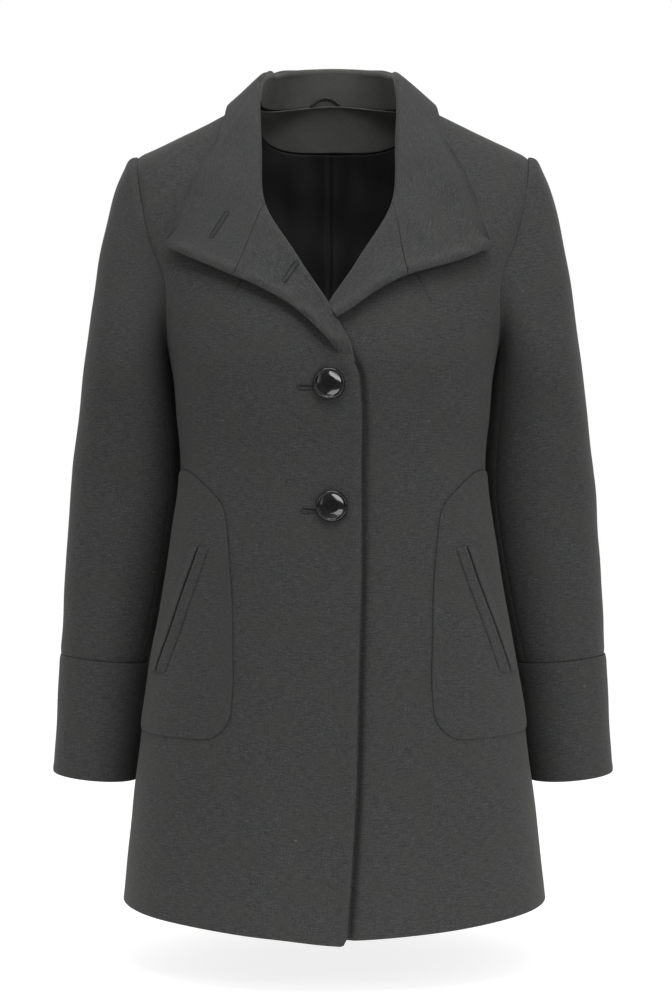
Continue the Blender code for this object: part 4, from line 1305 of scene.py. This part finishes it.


# Opal acrylic table top: cast and matt, with a glow of its own that is painted light, standing in for a
# lamp below it and lighting the coat from below. White all over, so that only a faint shadow shows, with a
# trace of the sheet's grain; the painted glow ends in front of the coat, where the table is painted dark.
# far is the painted dark of the table in front of the coat, where its painted glow has ended.
tableFinish = {"white": "#b6b6b5", "shade": "#b2b2b1", "far": "#4a4a4a", "grain": 0.004, "glow": 0.80}
studio = {
    "floor": -0.816, "reach": 14.0,
    "lit": (-0.80, -0.27),      # where the table's painted glow starts and is full
    # brightness of the studio by direction, from straight ahead of the coat to straight behind
    "world": ((0.00, 0.14), (0.05, 0.16), (0.20, 0.25), (0.50, 0.27), (0.90, 1.0)),
    # place, width and height, roll in radians and watts of each soft box, aimed at the coat
    "boxes": (((0.90, -1.65, 0.60), (2.2, 0.30), -0.78, 10.8),
              ((0.22, -0.80, -0.76), (0.8, 0.20), 0.45, 1.4),
              ((-2.6, -1.7, 1.2), (2.6, 2.6), 0.0, 14),
              ((0.0, -0.5, 2.2), (2.4, 1.6), 0.0, 25),
              ((0.02, -0.50, 0.40), (0.5, 0.25), 0.0, 2.3)),
    "aim": (0, 0, -0.35),
}


def addStage():
    # The emission is painted light: the table glows with no lamp behind it.
    acrylic, shader = startMaterial("opal_acrylic_painted_glow", Roughness=0.9, Metallic=0.0, IOR=1.49,
                                    Emission_Strength=tableFinish["glow"])
    spot = addNode(acrylic, "ShaderNodeTexCoord").outputs["Object"]
    grain = addNoise(acrylic, spot, tableFinish["grain"])
    colour = addMix(acrylic, grain, hexColour(tableFinish["white"]), hexColour(tableFinish["shade"]))
    depth = addNode(acrylic, "ShaderNodeSeparateXYZ", Vector=spot).outputs["Y"]
    lit = addRange(acrylic, depth, {"interpolation_type": "SMOOTHSTEP"}, From_Min=studio["lit"][0],
                   From_Max=studio["lit"][1], To_Min=0.12)
    shaded = addMix(acrylic, lit, hexColour(tableFinish["far"]), colour)
    linkShader(acrylic, shader, Base_Color=shaded, Emission_Color=lit)
    mesh = bpy.data.meshes.new("floor")
    reach, level = studio["reach"], studio["floor"]
    mesh.from_pydata([(-reach, -reach, level), (reach, -reach, level), (reach, reach, level),
                      (-reach, reach, level)], [], [(0, 1, 2, 3)])
    mesh.materials.append(acrylic)
    addObject("floor", mesh)
    for place, size, roll, watts in studio["boxes"]:
        lamp = bpy.data.lights.new("soft_box", "AREA")
        lamp.shape = "RECTANGLE"
        lamp.size, lamp.size_y = size
        lamp.energy = watts
        box = addObject("soft_box", lamp)
        box.location = place
        aim = (Vector(studio["aim"]) - Vector(place)).to_track_quat("-Z", "Y")
        box.rotation_euler = (aim @ Quaternion((0, 0, 1), roll)).to_euler()
        box.visible_camera = False


# The studio round the coat: white behind it, dimmer in front, so that gloss shows the boxes.
def addWorld():
    world = bpy.data.worlds.new("studio")
    world.use_nodes = True
    way = addNode(world, "ShaderNodeTexCoord").outputs["Generated"]
    behind = addNode(world, "ShaderNodeSeparateXYZ", Vector=way).outputs["Y"]
    turned = addRange(world, behind, From_Min=-1.0, From_Max=1.0)
    ramp = addNode(world, "ShaderNodeValToRGB", Fac=turned)
    while len(ramp.color_ramp.elements) < len(studio["world"]):
        ramp.color_ramp.elements.new(0.5)
    for stop, (at, bright) in zip(ramp.color_ramp.elements, studio["world"]):
        stop.position = at
        stop.color = (bright, bright, bright, 1)
    linkShader(world, world.node_tree.nodes["Background"], Color=ramp.outputs["Color"])
    bpy.context.scene.world = world
    bpy.context.scene.view_settings.view_transform = "Standard"    # white stays white


# The camera stands level at the photo's distance: a pixel is a millimetre at y = 0.
def addCamera():
    camera = addObject("camera", bpy.data.cameras.new("camera"))
    camera.data.sensor_width = 36
    camera.data.lens = 36 * viewer["distance"] / (2 * viewer["centre"][1] * viewer["pixel"])
    camera.location = (viewer["x"], -viewer["distance"], viewer["z"])
    camera.rotation_euler = (pi / 2, 0, 0)
    bpy.context.scene.camera = camera


addStage()
addWorld()
addCamera()
